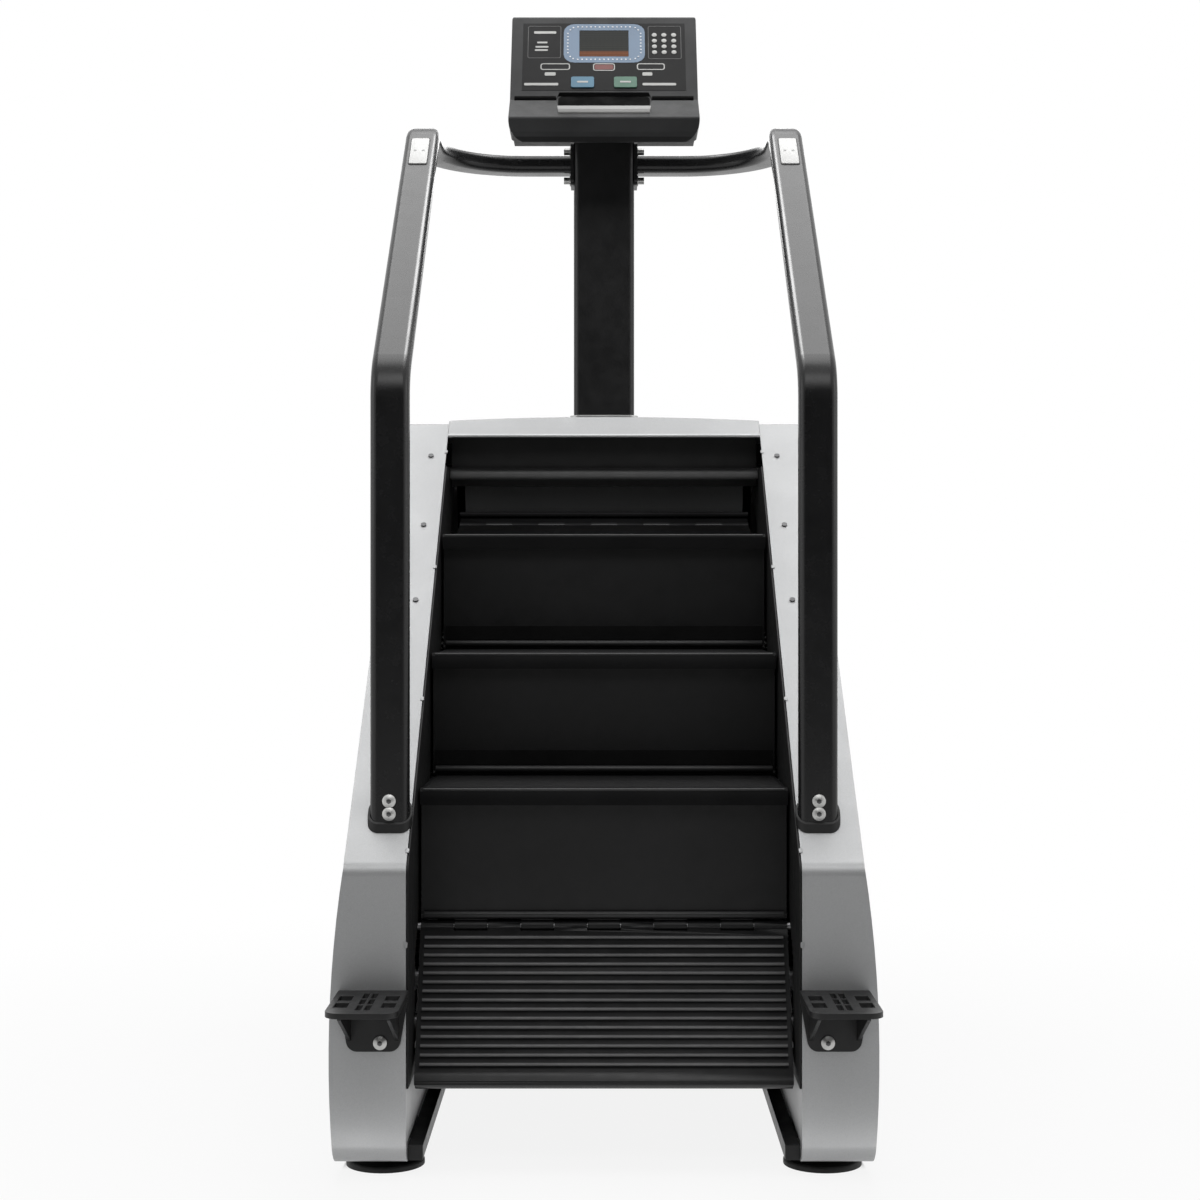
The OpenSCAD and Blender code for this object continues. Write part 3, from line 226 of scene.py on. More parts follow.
def coat(name, colour, rough, grain=1400.0, peel=0.12, uneven=0.25, metal=0.0, shine=0.35):
    material = bpy.data.materials.new(name)
    material.use_nodes = True
    tree = material.node_tree
    shader = tree.nodes["Principled BSDF"]
    shader.inputs["Metallic"].default_value = metal
    shader.inputs["Specular IOR Level"].default_value = shine
    place = tree.nodes.new("ShaderNodeTexCoord")
    tone = tree.nodes.new("ShaderNodeTexNoise")
    tone.inputs["Scale"].default_value = 7.0
    tone.inputs["Detail"].default_value = 5.0
    tree.links.new(place.outputs["Object"], tone.inputs["Vector"])
    shades = tree.nodes.new("ShaderNodeValToRGB")
    shades.color_ramp.elements[0].position = 0.3
    shades.color_ramp.elements[0].color = [c * (1 - uneven) for c in colour] + [1.0]
    shades.color_ramp.elements[1].position = 0.7
    shades.color_ramp.elements[1].color = [c * (1 + uneven) for c in colour] + [1.0]
    tree.links.new(tone.outputs["Fac"], shades.inputs["Fac"])
    tree.links.new(shades.outputs["Color"], shader.inputs["Base Color"])
    rub = tree.nodes.new("ShaderNodeTexNoise")
    rub.inputs["Scale"].default_value = 38.0
    rub.inputs["Detail"].default_value = 6.0
    rub.inputs["Roughness"].default_value = 0.65
    tree.links.new(place.outputs["Object"], rub.inputs["Vector"])
    gloss = tree.nodes.new("ShaderNodeMapRange")
    gloss.inputs["From Min"].default_value = 0.3
    gloss.inputs["From Max"].default_value = 0.7
    gloss.inputs["To Min"].default_value = rough * 0.85
    gloss.inputs["To Max"].default_value = rough * 1.15
    tree.links.new(rub.outputs["Fac"], gloss.inputs["Value"])
    tree.links.new(gloss.outputs["Result"], shader.inputs["Roughness"])
    skin = tree.nodes.new("ShaderNodeTexNoise")
    skin.inputs["Scale"].default_value = grain
    skin.inputs["Detail"].default_value = 2.0
    tree.links.new(place.outputs["Object"], skin.inputs["Vector"])
    bump = tree.nodes.new("ShaderNodeBump")
    bump.inputs["Strength"].default_value = peel
    bump.inputs["Distance"].default_value = 0.0006
    tree.links.new(skin.outputs["Fac"], bump.inputs["Height"])
    tree.links.new(bump.outputs["Normal"], shader.inputs["Normal"])
    return material


def dress(names, material, edge=0.0):
    for name in names:
        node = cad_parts[name]
        node.data.materials.clear()
        node.data.materials.append(material)
        node.data.shade_smooth()
        weld = node.modifiers.new("weld", "WELD")
        weld.merge_threshold = 0.00002
        if edge:
            flats = node.modifiers.new("flats", "DECIMATE")
            flats.decimate_type = "DISSOLVE"
            flats.angle_limit = radians(0.6)
            soft = node.modifiers.new("soft_edges", "BEVEL")
            soft.width = edge
            soft.segments = 2
            soft.limit_method = "ANGLE"
            soft.angle_limit = radians(35)
            even = node.modifiers.new("even_flats", "WEIGHTED_NORMAL")
            even.weight = 100
        else:
            crisp = node.modifiers.new("crisp", "EDGE_SPLIT")
            crisp.split_angle = radians(32)


frame_black = coat("frame_black", (0.012, 0.012, 0.0125), 0.42)
dress(["base_frame", "frame_left", "frame_right", "chain_guides"], frame_black, 0.0008)

# Levelling feet: moulded black rubber discs on zinc plated studs, which screw up into the
# pads of the side plates and set the machine level.
foot_rubber = coat("foot_rubber", (0.012, 0.012, 0.012), 0.62, grain=900.0, peel=0.2)
dress(["levelling_feet"], foot_rubber, 0.0012)

# Shafts, sprockets, axles and roller chain: turned and stamped steel with a film of oil,
# run in cast bearing blocks. Fine turning marks and darker oily patches.


def steel(name, colour, rough, streak=(40.0, 900.0, 900.0), oil=0.35):
    material = bpy.data.materials.new(name)
    material.use_nodes = True
    tree = material.node_tree
    shader = tree.nodes["Principled BSDF"]
    shader.inputs["Metallic"].default_value = 1.0
    place = tree.nodes.new("ShaderNodeTexCoord")
    turn = tree.nodes.new("ShaderNodeMapping")
    turn.inputs["Scale"].default_value = streak
    tree.links.new(place.outputs["Object"], turn.inputs["Vector"])
    marks = tree.nodes.new("ShaderNodeTexNoise")
    marks.inputs["Scale"].default_value = 1.0
    marks.inputs["Detail"].default_value = 4.0
    tree.links.new(turn.outputs["Vector"], marks.inputs["Vector"])
    film = tree.nodes.new("ShaderNodeTexNoise")
    film.inputs["Scale"].default_value = 30.0
    film.inputs["Detail"].default_value = 6.0
    tree.links.new(place.outputs["Object"], film.inputs["Vector"])
    shades = tree.nodes.new("ShaderNodeValToRGB")
    shades.color_ramp.elements[0].position = 0.35
    shades.color_ramp.elements[0].color = [c * (1 - oil) for c in colour] + [1.0]
    shades.color_ramp.elements[1].position = 0.6
    shades.color_ramp.elements[1].color = list(colour) + [1.0]
    tree.links.new(film.outputs["Fac"], shades.inputs["Fac"])
    tree.links.new(shades.outputs["Color"], shader.inputs["Base Color"])
    gloss = tree.nodes.new("ShaderNodeMapRange")
    gloss.inputs["To Min"].default_value = rough * 0.75
    gloss.inputs["To Max"].default_value = rough * 1.25
    tree.links.new(marks.outputs["Fac"], gloss.inputs["Value"])
    tree.links.new(gloss.outputs["Result"], shader.inputs["Roughness"])
    bump = tree.nodes.new("ShaderNodeBump")
    bump.inputs["Strength"].default_value = 0.08
    bump.inputs["Distance"].default_value = 0.0003
    tree.links.new(marks.outputs["Fac"], bump.inputs["Height"])
    tree.links.new(bump.outputs["Normal"], shader.inputs["Normal"])
    return material


shaft_steel = steel("shaft_steel", (0.42, 0.42, 0.43), 0.34)
chain_steel = steel("chain_steel", (0.20, 0.20, 0.21), 0.42, streak=(300.0, 300.0, 300.0), oil=0.6)
dress(["drive_shaft", "idler_shaft", "upper_axle", "lower_axle", "run_axles", "return_axles"], shaft_steel)
dress(["drive_sprockets", "idler_sprockets", "upper_chain", "lower_chain"], chain_steel)
dress(["run_chain", "return_chain", "shaft_bearings"], chain_steel)

# Motor, pulleys and belt: a finned cast motor case in dark paint, its flange on the right
# side plate, turned alloy pulleys and a flat black rubber belt.
pulley_alloy = steel("pulley_alloy", (0.56, 0.56, 0.57), 0.3, oil=0.15)
motor_paint = coat("motor_paint", (0.03, 0.031, 0.034), 0.38, grain=700.0)
belt_rubber = coat("belt_rubber", (0.010, 0.010, 0.010), 0.7, grain=1800.0, peel=0.3)
dress(["motor"], motor_paint, 0.0008)
dress(["drive_pulley", "motor_pulley"], pulley_alloy)
dress(["drive_belt"], belt_rubber)

# Controller box and mains inlet: a grey plastic box with a row of cooling fins on the left
# side plate, and a moulded socket in the rear cover.
box_grey = coat("box_grey", (0.16, 0.165, 0.17), 0.45)
socket_black = coat("socket_black", (0.011, 0.011, 0.011), 0.5, grain=2200.0, peel=0.2)
dress(["control_box"], box_grey, 0.0008)
dress(["power_inlet"], socket_black, 0.0005)

# Steps: ribbed treads of extruded aluminium and plain risers of folded sheet, hinged to
# each other along a comb and at the nosing, all in fine textured black.
tread_black = coat("tread_black", (0.0085, 0.0085, 0.0088), 0.52, grain=1700.0, peel=0.1, shine=0.07)
riser_black = coat("riser_black", (0.008, 0.008, 0.0083), 0.46, grain=1900.0, peel=0.14, shine=0.3)
dress(["run_treads", "top_tread", "over_tread", "under_tread"], tread_black, 0.0006)
dress(["run_risers", "first_riser", "top_riser", "over_riser", "under_riser"], riser_black, 0.0006)
dress(["return_steps"], tread_black)

# Hinge rolls, foot strips and nosing beads: a rolled bead along the foot of each riser, over the hinge
# pins, and a bead along each nosing, rubbed smooth by shoes, both in a lighter copy of the step black that
# paints their highlight lines; and a strip of matt black on the riser above the roll, painted shade for
# the shadowed recess at the riser's foot.
# A lighter copy of the step black: a painted highlight on the beads.
bead_highlight_black = coat("bead_highlight_black", (0.021, 0.021, 0.0214), 0.46, grain=1900.0, shine=0.4)
# Matt black for the foot strips: painted shade at the riser's foot.
riser_foot_shade = coat("riser_foot_shade", (0.013, 0.013, 0.013), 0.95, grain=2400.0, peel=0.3, shine=0.06)
bead_length = 0.552
foot_shade_size = (bead_length, 0.0014, 0.024)


def round_edges(piece, width, segments, steeper_than):
    rounding = piece.modifiers.new("rounding", "BEVEL")
    rounding.width = width
    rounding.segments = segments
    rounding.limit_method = "ANGLE"
    rounding.angle_limit = radians(steeper_than)
    bpy.ops.object.modifier_apply(modifier="rounding")


def rod_across(name, sides, radius, length, y, z):
    bpy.ops.object.select_all(action="DESELECT")
    bpy.ops.mesh.primitive_cylinder_add(
        vertices=sides, radius=radius, depth=length,
        location=(0.0, y, z), rotation=(0.0, radians(90), 0.0),
    )
    rod = bpy.context.active_object
    rod.name = name
    bpy.ops.object.transform_apply(location=True, rotation=True, scale=True)
    return rod


def flat_strip(name, middle, size, tilt, edge):
    bpy.ops.object.select_all(action="DESELECT")
    bpy.ops.mesh.primitive_cube_add(size=1.0, location=middle, rotation=(tilt, 0.0, 0.0))
    strip = bpy.context.active_object
    strip.name = name
    strip.scale = size
    bpy.ops.object.transform_apply(location=True, rotation=True, scale=True)
    round_edges(strip, edge, 2, 30)
    return strip


for bead_name, body, thick, y, z in (
    ("hinge_roll_upper", "top_riser", 0.0060, 0.0432, 0.7642),
    ("hinge_roll_middle", "stair_run", 0.0060, -0.1826, 0.5642),
    ("hinge_roll_lower", "stair_run", 0.0055, -0.4084, 0.3600),
    ("nosing_bead_upper", "top_tread", 0.0025, 0.0294, 0.9522),
    ("nosing_bead_middle", "stair_run", 0.0025, -0.1964, 0.7522),
    ("nosing_bead_lower", "stair_run", 0.0025, -0.4222, 0.5522),
):
    bead = rod_across(bead_name, 24, thick, bead_length, y, z)
    round_edges(bead, 0.0012, 3, 60)
    bpy.ops.object.shade_smooth_by_angle(angle=radians(40))
    bead.data.materials.append(bead_highlight_black)
    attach(bead, body)
# Strips of painted shade along the foot of the upper risers.
for foot_shade_name, body, y, z in (
    ("riser_foot_shade_upper", "top_riser", 0.0465, 0.7830),
    ("riser_foot_shade_middle", "stair_run", -0.1793, 0.5830),
):
    foot_shade = flat_strip(foot_shade_name, (0.0, y, z), foot_shade_size, 0.0, 0.0004)
    foot_shade.data.materials.append(riser_foot_shade)
    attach(foot_shade, body)

# First tread: the same extrusion, in a lighter copy of the tread black with more shine, which stands in
# for the light it catches, and with a painted highlight in grey along the crowns of the ribs.
tread_worn = coat("tread_worn", (0.010, 0.010, 0.0104), 0.4, grain=1700.0, peel=0.1, shine=0.26)
tread_out = Vector((0.0, -0.8842, 0.4671))
highlight_from = 0.0016
highlight_full = 0.0002
# The grey on the rib crowns is a painted highlight, made patchy, and kept off the nosing.
crown_highlight_grey = (0.15, 0.15, 0.151, 1.0)
crown = max(point.co @ tread_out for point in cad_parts["first_tread"].data.vertices)
tree = tread_worn.node_tree
shader = tree.nodes["Principled BSDF"]
black = shader.inputs["Base Color"].links[0].from_socket
place = tree.nodes.new("ShaderNodeTexCoord")
outward = tree.nodes.new("ShaderNodeVectorMath")
outward.operation = "DOT_PRODUCT"
outward.inputs[1].default_value = tread_out
tree.links.new(place.outputs["Object"], outward.inputs[0])
crown_mask = tree.nodes.new("ShaderNodeMapRange")
crown_mask.inputs["From Min"].default_value = crown - highlight_from
crown_mask.inputs["From Max"].default_value = crown - highlight_full
tree.links.new(outward.outputs["Value"], crown_mask.inputs["Value"])
highlight_patches = tree.nodes.new("ShaderNodeTexNoise")
highlight_patches.inputs["Scale"].default_value = 26.0
highlight_patches.inputs["Detail"].default_value = 8.0
tree.links.new(place.outputs["Object"], highlight_patches.inputs["Vector"])
uneven = tree.nodes.new("ShaderNodeMapRange")
uneven.inputs["From Min"].default_value = 0.3
uneven.inputs["From Max"].default_value = 0.7
uneven.inputs["To Min"].default_value = 0.7
tree.links.new(highlight_patches.outputs["Fac"], uneven.inputs["Value"])
tread_up = Vector((0.0, 0.4671, 0.8842))
nosing_without_highlight = (0.024, 0.027)
nosing = min(point.co @ tread_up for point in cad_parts["first_tread"].data.vertices)
along = tree.nodes.new("ShaderNodeVectorMath")
along.operation = "DOT_PRODUCT"
along.inputs[1].default_value = tread_up
tree.links.new(place.outputs["Object"], along.inputs[0])
past_nosing = tree.nodes.new("ShaderNodeMapRange")
past_nosing.inputs["From Min"].default_value = nosing + nosing_without_highlight[0]
past_nosing.inputs["From Max"].default_value = nosing + nosing_without_highlight[1]
tree.links.new(along.outputs["Value"], past_nosing.inputs["Value"])
on_ribs = tree.nodes.new("ShaderNodeMath")
on_ribs.operation = "MULTIPLY"
tree.links.new(crown_mask.outputs["Result"], on_ribs.inputs[0])
tree.links.new(past_nosing.outputs["Result"], on_ribs.inputs[1])
highlight_share = tree.nodes.new("ShaderNodeMath")
highlight_share.operation = "MULTIPLY"
tree.links.new(on_ribs.outputs["Value"], highlight_share.inputs[0])
tree.links.new(uneven.outputs["Result"], highlight_share.inputs[1])
# Mix the painted crown highlight into the black.
highlighted_black = tree.nodes.new("ShaderNodeMix")
highlighted_black.data_type = "RGBA"
tree.links.new(highlight_share.outputs["Value"], highlighted_black.inputs["Factor"])
tree.links.new(black, highlighted_black.inputs["A"])
highlighted_black.inputs["B"].default_value = crown_highlight_grey
tree.links.new(highlighted_black.outputs["Result"], shader.inputs["Base Color"])
dress(["first_tread"], tread_worn, 0.0006)

# Guards: black plastic sheet along the inner face of each cover, close to the step ends, so
# that no shoe reaches the chain.
guard_black = coat("guard_black", (0.008, 0.008, 0.0082), 0.5, grain=1500.0, shine=0.25)
dress(["guard_left", "guard_right"], guard_black, 0.0006)

# Side covers, top cover and rear cover: moulded shells in silver paint, whose fine flakes
# catch the light one by one under a thin clear coat. Dark screws hold them, and a black
# plastic apron hangs under the front edge of the top cover.


def silver_paint(name, colour, rough, metal):
    material = bpy.data.materials.new(name)
    material.use_nodes = True
    tree = material.node_tree
    shader = tree.nodes["Principled BSDF"]
    shader.inputs["Metallic"].default_value = metal
    shader.inputs["Coat Weight"].default_value = 0.12
    shader.inputs["Coat Roughness"].default_value = 0.2
    place = tree.nodes.new("ShaderNodeTexCoord")
    flakes = tree.nodes.new("ShaderNodeTexVoronoi")
    flakes.inputs["Scale"].default_value = 2600.0
    tree.links.new(place.outputs["Object"], flakes.inputs["Vector"])
    glint = tree.nodes.new("ShaderNodeSeparateColor")
    tree.links.new(flakes.outputs["Color"], glint.inputs["Color"])
    shades = tree.nodes.new("ShaderNodeValToRGB")
    shades.color_ramp.elements[0].color = [c * 0.86 for c in colour] + [1.0]
    shades.color_ramp.elements[1].color = [min(1.0, c * 1.14) for c in colour] + [1.0]
    tree.links.new(glint.outputs["Red"], shades.inputs["Fac"])
    tree.links.new(shades.outputs["Color"], shader.inputs["Base Color"])
    wipe = tree.nodes.new("ShaderNodeTexNoise")
    wipe.inputs["Scale"].default_value = 11.0
    wipe.inputs["Detail"].default_value = 6.0
    tree.links.new(place.outputs["Object"], wipe.inputs["Vector"])
    gloss = tree.nodes.new("ShaderNodeMapRange")
    gloss.inputs["From Min"].default_value = 0.3
    gloss.inputs["From Max"].default_value = 0.7
    gloss.inputs["To Min"].default_value = rough * 0.88
    gloss.inputs["To Max"].default_value = rough * 1.12
    tree.links.new(wipe.outputs["Fac"], gloss.inputs["Value"])
    tree.links.new(gloss.outputs["Result"], shader.inputs["Roughness"])
    bump = tree.nodes.new("ShaderNodeBump")
    bump.inputs["Strength"].default_value = 0.06
    bump.inputs["Distance"].default_value = 0.0003
    tree.links.new(glint.outputs["Green"], bump.inputs["Height"])
    tree.links.new(bump.outputs["Normal"], shader.inputs["Normal"])
    return material


cover_silver = silver_paint("cover_silver", (0.37, 0.374, 0.378), 0.40, 0.28)
dress(["side_cover_left", "side_cover_right"], cover_silver, 0.0015)
dress(["top_cover", "rear_cover"], cover_silver, 0.0015)
apron_black = coat("apron_black", (0.013, 0.013, 0.0132), 0.4, grain=1800.0)
dress(["top_apron"], apron_black, 0.0008)
screw_zinc = steel("screw_zinc", (0.52, 0.52, 0.51), 0.42, streak=(500.0, 500.0, 500.0), oil=0.2)
screw_dark = steel("screw_dark", (0.11, 0.11, 0.112), 0.4, streak=(500.0, 500.0, 500.0), oil=0.3)
dress(["cover_screws"], screw_dark)

# Lid hems: a rolled bead along the front lip of the top cover, in a brighter copy of the cover silver that
# paints the bright highlight line along the lip, and a skirt under its rear edge that comes down on to the
# bend of the rear cover.
lid_low, lid_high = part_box("top_cover")
half_lid = lid_high[0] - 0.0008
# A brighter copy of the cover silver: a painted highlight along the lip.
hem_highlight_silver = silver_paint("hem_highlight_silver", (0.74, 0.745, 0.75), 0.34, 0.2)
hem_r = 0.003
hem_y = lid_low[1] + 0.0018
hem_z = lid_low[2] + 0.0024
front_hem = rod_across("lid_front_hem", 20, hem_r, 2 * half_lid, hem_y, hem_z)
round_edges(front_hem, 0.001, 2, 60)
bpy.ops.object.shade_smooth_by_angle(angle=radians(40))
front_hem.data.materials.append(hem_highlight_silver)
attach(front_hem, "base")
lid_t = 0.003
lid_crown = 0.008
skirt_t = 0.0012
skirt_y = lid_high[1] - skirt_t
bend = (
    (0.542, 1.1604), (0.550, 1.1598), (0.556, 1.1571), (0.562, 1.1537),
    (0.568, 1.1500), (0.574, 1.1452), (skirt_y, 1.1406),
)
skirt_line = [(-half_lid, y, z) for y, z in bend]
skirt_line += [(half_lid * step / 8, skirt_y, bend[-1][1]) for step in range(-7, 8)]
skirt_line += [(half_lid, y, z) for y, z in reversed(bend)]
bpy.ops.object.select_all(action="DESELECT")
bpy.ops.mesh.primitive_grid_add(x_subdivisions=len(skirt_line) - 1, y_subdivisions=1, size=1.0)
skirt = bpy.context.active_object
skirt.name = "lid_rear_skirt"
for corner in skirt.data.vertices:
    x, y, low = skirt_line[round((corner.co.x + 0.5) * (len(skirt_line) - 1))]
    under_lid = lid_high[2] - lid_t - lid_crown * (x / lid_high[0]) ** 2
    corner.co = (x, y, under_lid + 0.001 if corner.co.y > 0 else low)
sheet = skirt.modifiers.new("sheet", "SOLIDIFY")
sheet.thickness = skirt_t
sheet.offset = 0.0
bpy.ops.object.modifier_apply(modifier="sheet")
bpy.ops.object.mode_set(mode="EDIT")
bpy.ops.mesh.select_all(action="SELECT")
bpy.ops.mesh.normals_make_consistent(inside=False)
bpy.ops.object.mode_set(mode="OBJECT")
bpy.ops.object.shade_smooth_by_angle(angle=radians(30))
skirt.data.materials.append(cover_silver)
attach(skirt, "base")

# Rear cover linings: a foam dust filter behind the air slots, and a strip of black foam
# tape inside each seam between the rear cover and a side cover.
filter_foam = coat("filter_foam", (0.006, 0.006, 0.006), 0.95, grain=900.0, peel=0.6, shine=0.1)
seam_tilt = 0.3469
tape_size = (0.016, 0.0016, 0.27)
linings = [("dust_filter", (0.0, 0.7418, 0.240), (0.276, 0.004, 0.124), 0.0)]
for side_name, x in (("left", -0.2873), ("right", 0.2873)):
    linings.append(("seam_tape_" + side_name, (x, 0.6408, 0.9854), tape_size, seam_tilt))
for lining_name, middle, size, tilt in linings:
    lining = flat_strip(lining_name, middle, size, tilt, 0.0006)
    lining.data.materials.append(filter_foam)
    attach(lining, "base")

# Mast: a steel box column with rounded corners on a beam between the side plates, in a black
# satin coat, with a bright trim flange where it comes through the top cover.
mast_black = coat("mast_black", (0.010, 0.010, 0.0103), 0.36)
dress(["mast"], mast_black, 0.001)
dress(["mast_flange"], screw_zinc, 0.0006)

# Handrails: bent flat-oval steel tube in a satin black coat, pushed over stubs at the foot,
# with a collar at the cover, and bolted to brackets on the mast.
rail_grey = coat("rail_grey", (0.012, 0.012, 0.0124), 0.26, grain=1200.0, peel=0.04, shine=0.34)
dress(["handrail_left", "handrail_right"], rail_grey)
dress(["rail_collars"], socket_black, 0.0008)
dress(["rail_brackets"], mast_black, 0.0006)
dress(["frame_bolts"], screw_zinc, 0.0004)

# Rail lights: two panels back to back over the middle of the machine that only the rails
# catch, so that the inner edge of each rail carries a clear bright line.
slope = Vector((0.0, 0.769, 0.639))
square_up = Vector((0.0, -0.639, 0.769))
for side, rail in ((-1, "handrail_left"), (1, "handrail_right")):
    panel = softbox("rail_light", (0.0, 0.0, 0.0), (0.0, 0.0, -1.0), (0.6, 0.9), 16)
    middle = Vector((0.0, -0.5, 1.2)) + slope * 1.08 + square_up * 0.45
    away = Vector((-side, 0.0, 0.0))
    facing = Matrix((slope.cross(away), slope, away)).transposed().to_4x4()
    panel.matrix_world = Matrix.Translation(middle) @ facing
    only = bpy.data.collections.new("lit_" + rail)
    only.objects.link(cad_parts[rail])
    panel.light_linking.receiver_collection = only

# Weak lights for what the studio hardly reaches: the floor's glow on the foot of the side
# covers, and a little light through the opening on the steps that turn over at the top.
for glow_name, stand, aim, size, watts, lit_nodes in (
    ("floor_glow", (0.0, -0.68, 0.012), (0.0, -0.578, 0.03), (1.0, 0.06), 0.32,
     ("side_cover_left", "side_cover_right")),
    ("opening_light", (0.0, -3.4, 1.0), (0.0, 0.6, 1.03), (0.6, 0.6), 6, ("rear_cover",)),
    ("turning_light", (0.0, -3.4, 1.0), (0.0, 0.4, 0.98), (0.6, 0.6), 260,
     ("over_riser", "over_tread")),
):
    glow_lamp = softbox(glow_name, stand, aim, size, watts)
    glow_lamp.visible_camera = False
    only = bpy.data.collections.new("lit_by_" + glow_name)
    for node_name in lit_nodes:
        only.objects.link(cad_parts[node_name])
    glow_lamp.light_linking.receiver_collection = only

# Console: a moulded housing in two shells screwed together from behind, charcoal with a
# fine grain, and a light grey moulded lip along the reading ledge.
console_black = coat("console_black", (0.012, 0.012, 0.0124), 0.5, grain=2400.0, peel=0.22, shine=0.2)
console_grey = coat("console_grey", (0.036, 0.0364, 0.0372), 0.5, grain=2400.0, peel=0.22, shine=0.16)
ledge_rubber = coat("ledge_rubber", (0.36, 0.36, 0.353), 0.5, grain=2600.0, peel=0.2, uneven=0.1)
dress(["console_back"], console_black, 0.0015)
dress(["console_front"], console_grey, 0.0015)
dress(["reading_ledge"], ledge_rubber, 0.001)

# Overlay and display: a printed polyester film over the face, with a smoked window above
# a dot matrix that shows a low row of amber bars.
overlay_black = coat("overlay_black", (0.010, 0.010, 0.0103), 0.42, grain=3000.0, peel=0.06, shine=0.1)
dress(["console_overlay"], overlay_black, 0.0005)
window_low, window_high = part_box("display_window")
smoked = bpy.data.materials.new("smoked_window")
smoked.use_nodes = True
tree = smoked.node_tree
shader = tree.nodes["Principled BSDF"]
shader.inputs["Roughness"].default_value = 0.16
shader.inputs["Specular IOR Level"].default_value = 0.08
place = tree.nodes.new("ShaderNodeTexCoord")
parts = tree.nodes.new("ShaderNodeSeparateXYZ")
tree.links.new(place.outputs["Object"], parts.inputs["Vector"])
up_window = tree.nodes.new("ShaderNodeMapRange")
up_window.inputs["From Min"].default_value = window_low.z
up_window.inputs["From Max"].default_value = window_high.z
tree.links.new(parts.outputs["Z"], up_window.inputs["Value"])
rows = tree.nodes.new("ShaderNodeValToRGB")
rows.color_ramp.interpolation = "EASE"
rows.color_ramp.elements[0].position = 0.02
rows.color_ramp.elements[0].color = (0.20, 0.065, 0.022, 1.0)
rows.color_ramp.elements[1].position = 0.95
rows.color_ramp.elements[1].color = (0.028, 0.031, 0.029, 1.0)
amber = rows.color_ramp.elements.new(0.17)
amber.color = (0.26, 0.085, 0.03, 1.0)
above = rows.color_ramp.elements.new(0.27)
above.color = (0.032, 0.034, 0.030, 1.0)
tree.links.new(up_window.outputs["Result"], rows.inputs["Fac"])
matrix = tree.nodes.new("ShaderNodeTexVoronoi")
matrix.inputs["Scale"].default_value = 420.0
matrix.inputs["Randomness"].default_value = 0.0
tree.links.new(place.outputs["Object"], matrix.inputs["Vector"])
gaps = tree.nodes.new("ShaderNodeMapRange")
gaps.inputs["From Min"].default_value = 0.25
gaps.inputs["From Max"].default_value = 0.55
gaps.inputs["To Min"].default_value = 1.0
gaps.inputs["To Max"].default_value = 0.55
tree.links.new(matrix.outputs["Distance"], gaps.inputs["Value"])
dots = tree.nodes.new("ShaderNodeMix")
dots.data_type = "RGBA"
dots.blend_type = "MULTIPLY"
dots.inputs["Factor"].default_value = 1.0
tree.links.new(rows.outputs["Color"], dots.inputs["A"])
tree.links.new(gaps.outputs["Result"], dots.inputs["B"])
tree.links.new(dots.outputs["Result"], shader.inputs["Base Color"])
dress(["display_window"], smoked, 0.0005)

# Face print: a pale blue surround for the display, outlined fields on both sides, key
# symbols and plain bars, screen printed on the film in thick ink.
overlay_low, overlay_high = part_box("console_overlay")
lean = radians(30)
face_turn = (radians(90) - lean, 0.0, 0.0)
face_up = Vector((0.0, sin(lean), cos(lean)))
face_out = Vector((0.0, -cos(lean), sin(lean)))
film_from = 0.022
film_to = 0.188
foot_y = overlay_high.y - film_to * face_up.y
foot_z = overlay_low.z - film_from * face_up.z
face_foot = Vector((0.0, foot_y, foot_z))
film_t = 0.0008
ink_t = 0.0003


def on_face(across, up, lift=0.0):
    return face_foot + Vector((across, 0.0, 0.0)) + face_up * up + face_out * (film_t + lift)


def blank(place, turn, width, height, corner):
    bpy.ops.object.select_all(action="DESELECT")
    bpy.ops.mesh.primitive_plane_add(size=1.0, location=place, rotation=turn)
    piece = bpy.context.active_object
    piece.scale = (width, height, 1.0)
    bpy.ops.object.transform_apply(location=True, rotation=True, scale=True)
    bpy.ops.object.mode_set(mode="EDIT")
    bpy.ops.mesh.select_mode(type="VERT")
    bpy.ops.mesh.select_all(action="SELECT")
    bpy.ops.mesh.bevel(offset=corner, segments=4, affect="VERTICES")
    bpy.ops.object.mode_set(mode="OBJECT")
    return piece


def outline_only(piece, rim):
    bpy.ops.object.mode_set(mode="EDIT")
    bpy.ops.mesh.select_mode(type="FACE")
    bpy.ops.mesh.select_all(action="SELECT")
    bpy.ops.mesh.inset(thickness=rim)
    bpy.ops.mesh.delete(type="FACE")
    bpy.ops.object.mode_set(mode="OBJECT")
    return piece


def gather(name, pieces):
    bpy.ops.object.select_all(action="DESELECT")
    for piece in pieces:
        piece.select_set(True)
    bpy.context.view_layer.objects.active = pieces[0]
    bpy.ops.object.join()
    whole = bpy.context.active_object
    whole.name = name
    whole.data.name = name
    return whole


def thicken(piece, amount, edge=0.0):
    bpy.context.view_layer.objects.active = piece
    wall = piece.modifiers.new("thickness", "SOLIDIFY")
    wall.thickness = amount
    wall.offset = 1.0
    bpy.ops.object.modifier_apply(modifier="thickness")
    if edge:
        soft = piece.modifiers.new("soft_edges", "BEVEL")
        soft.width = edge
        soft.segments = 2
        soft.limit_method = "ANGLE"
        soft.angle_limit = radians(50)
        bpy.ops.object.modifier_apply(modifier="soft_edges")


def finish(piece, material, body):
    piece.data.materials.clear()
    piece.data.materials.append(material)
    bpy.ops.object.select_all(action="DESELECT")
    piece.select_set(True)
    bpy.context.view_layer.objects.active = piece
    bpy.ops.object.shade_smooth_by_angle(angle=radians(40))
    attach(piece, body)


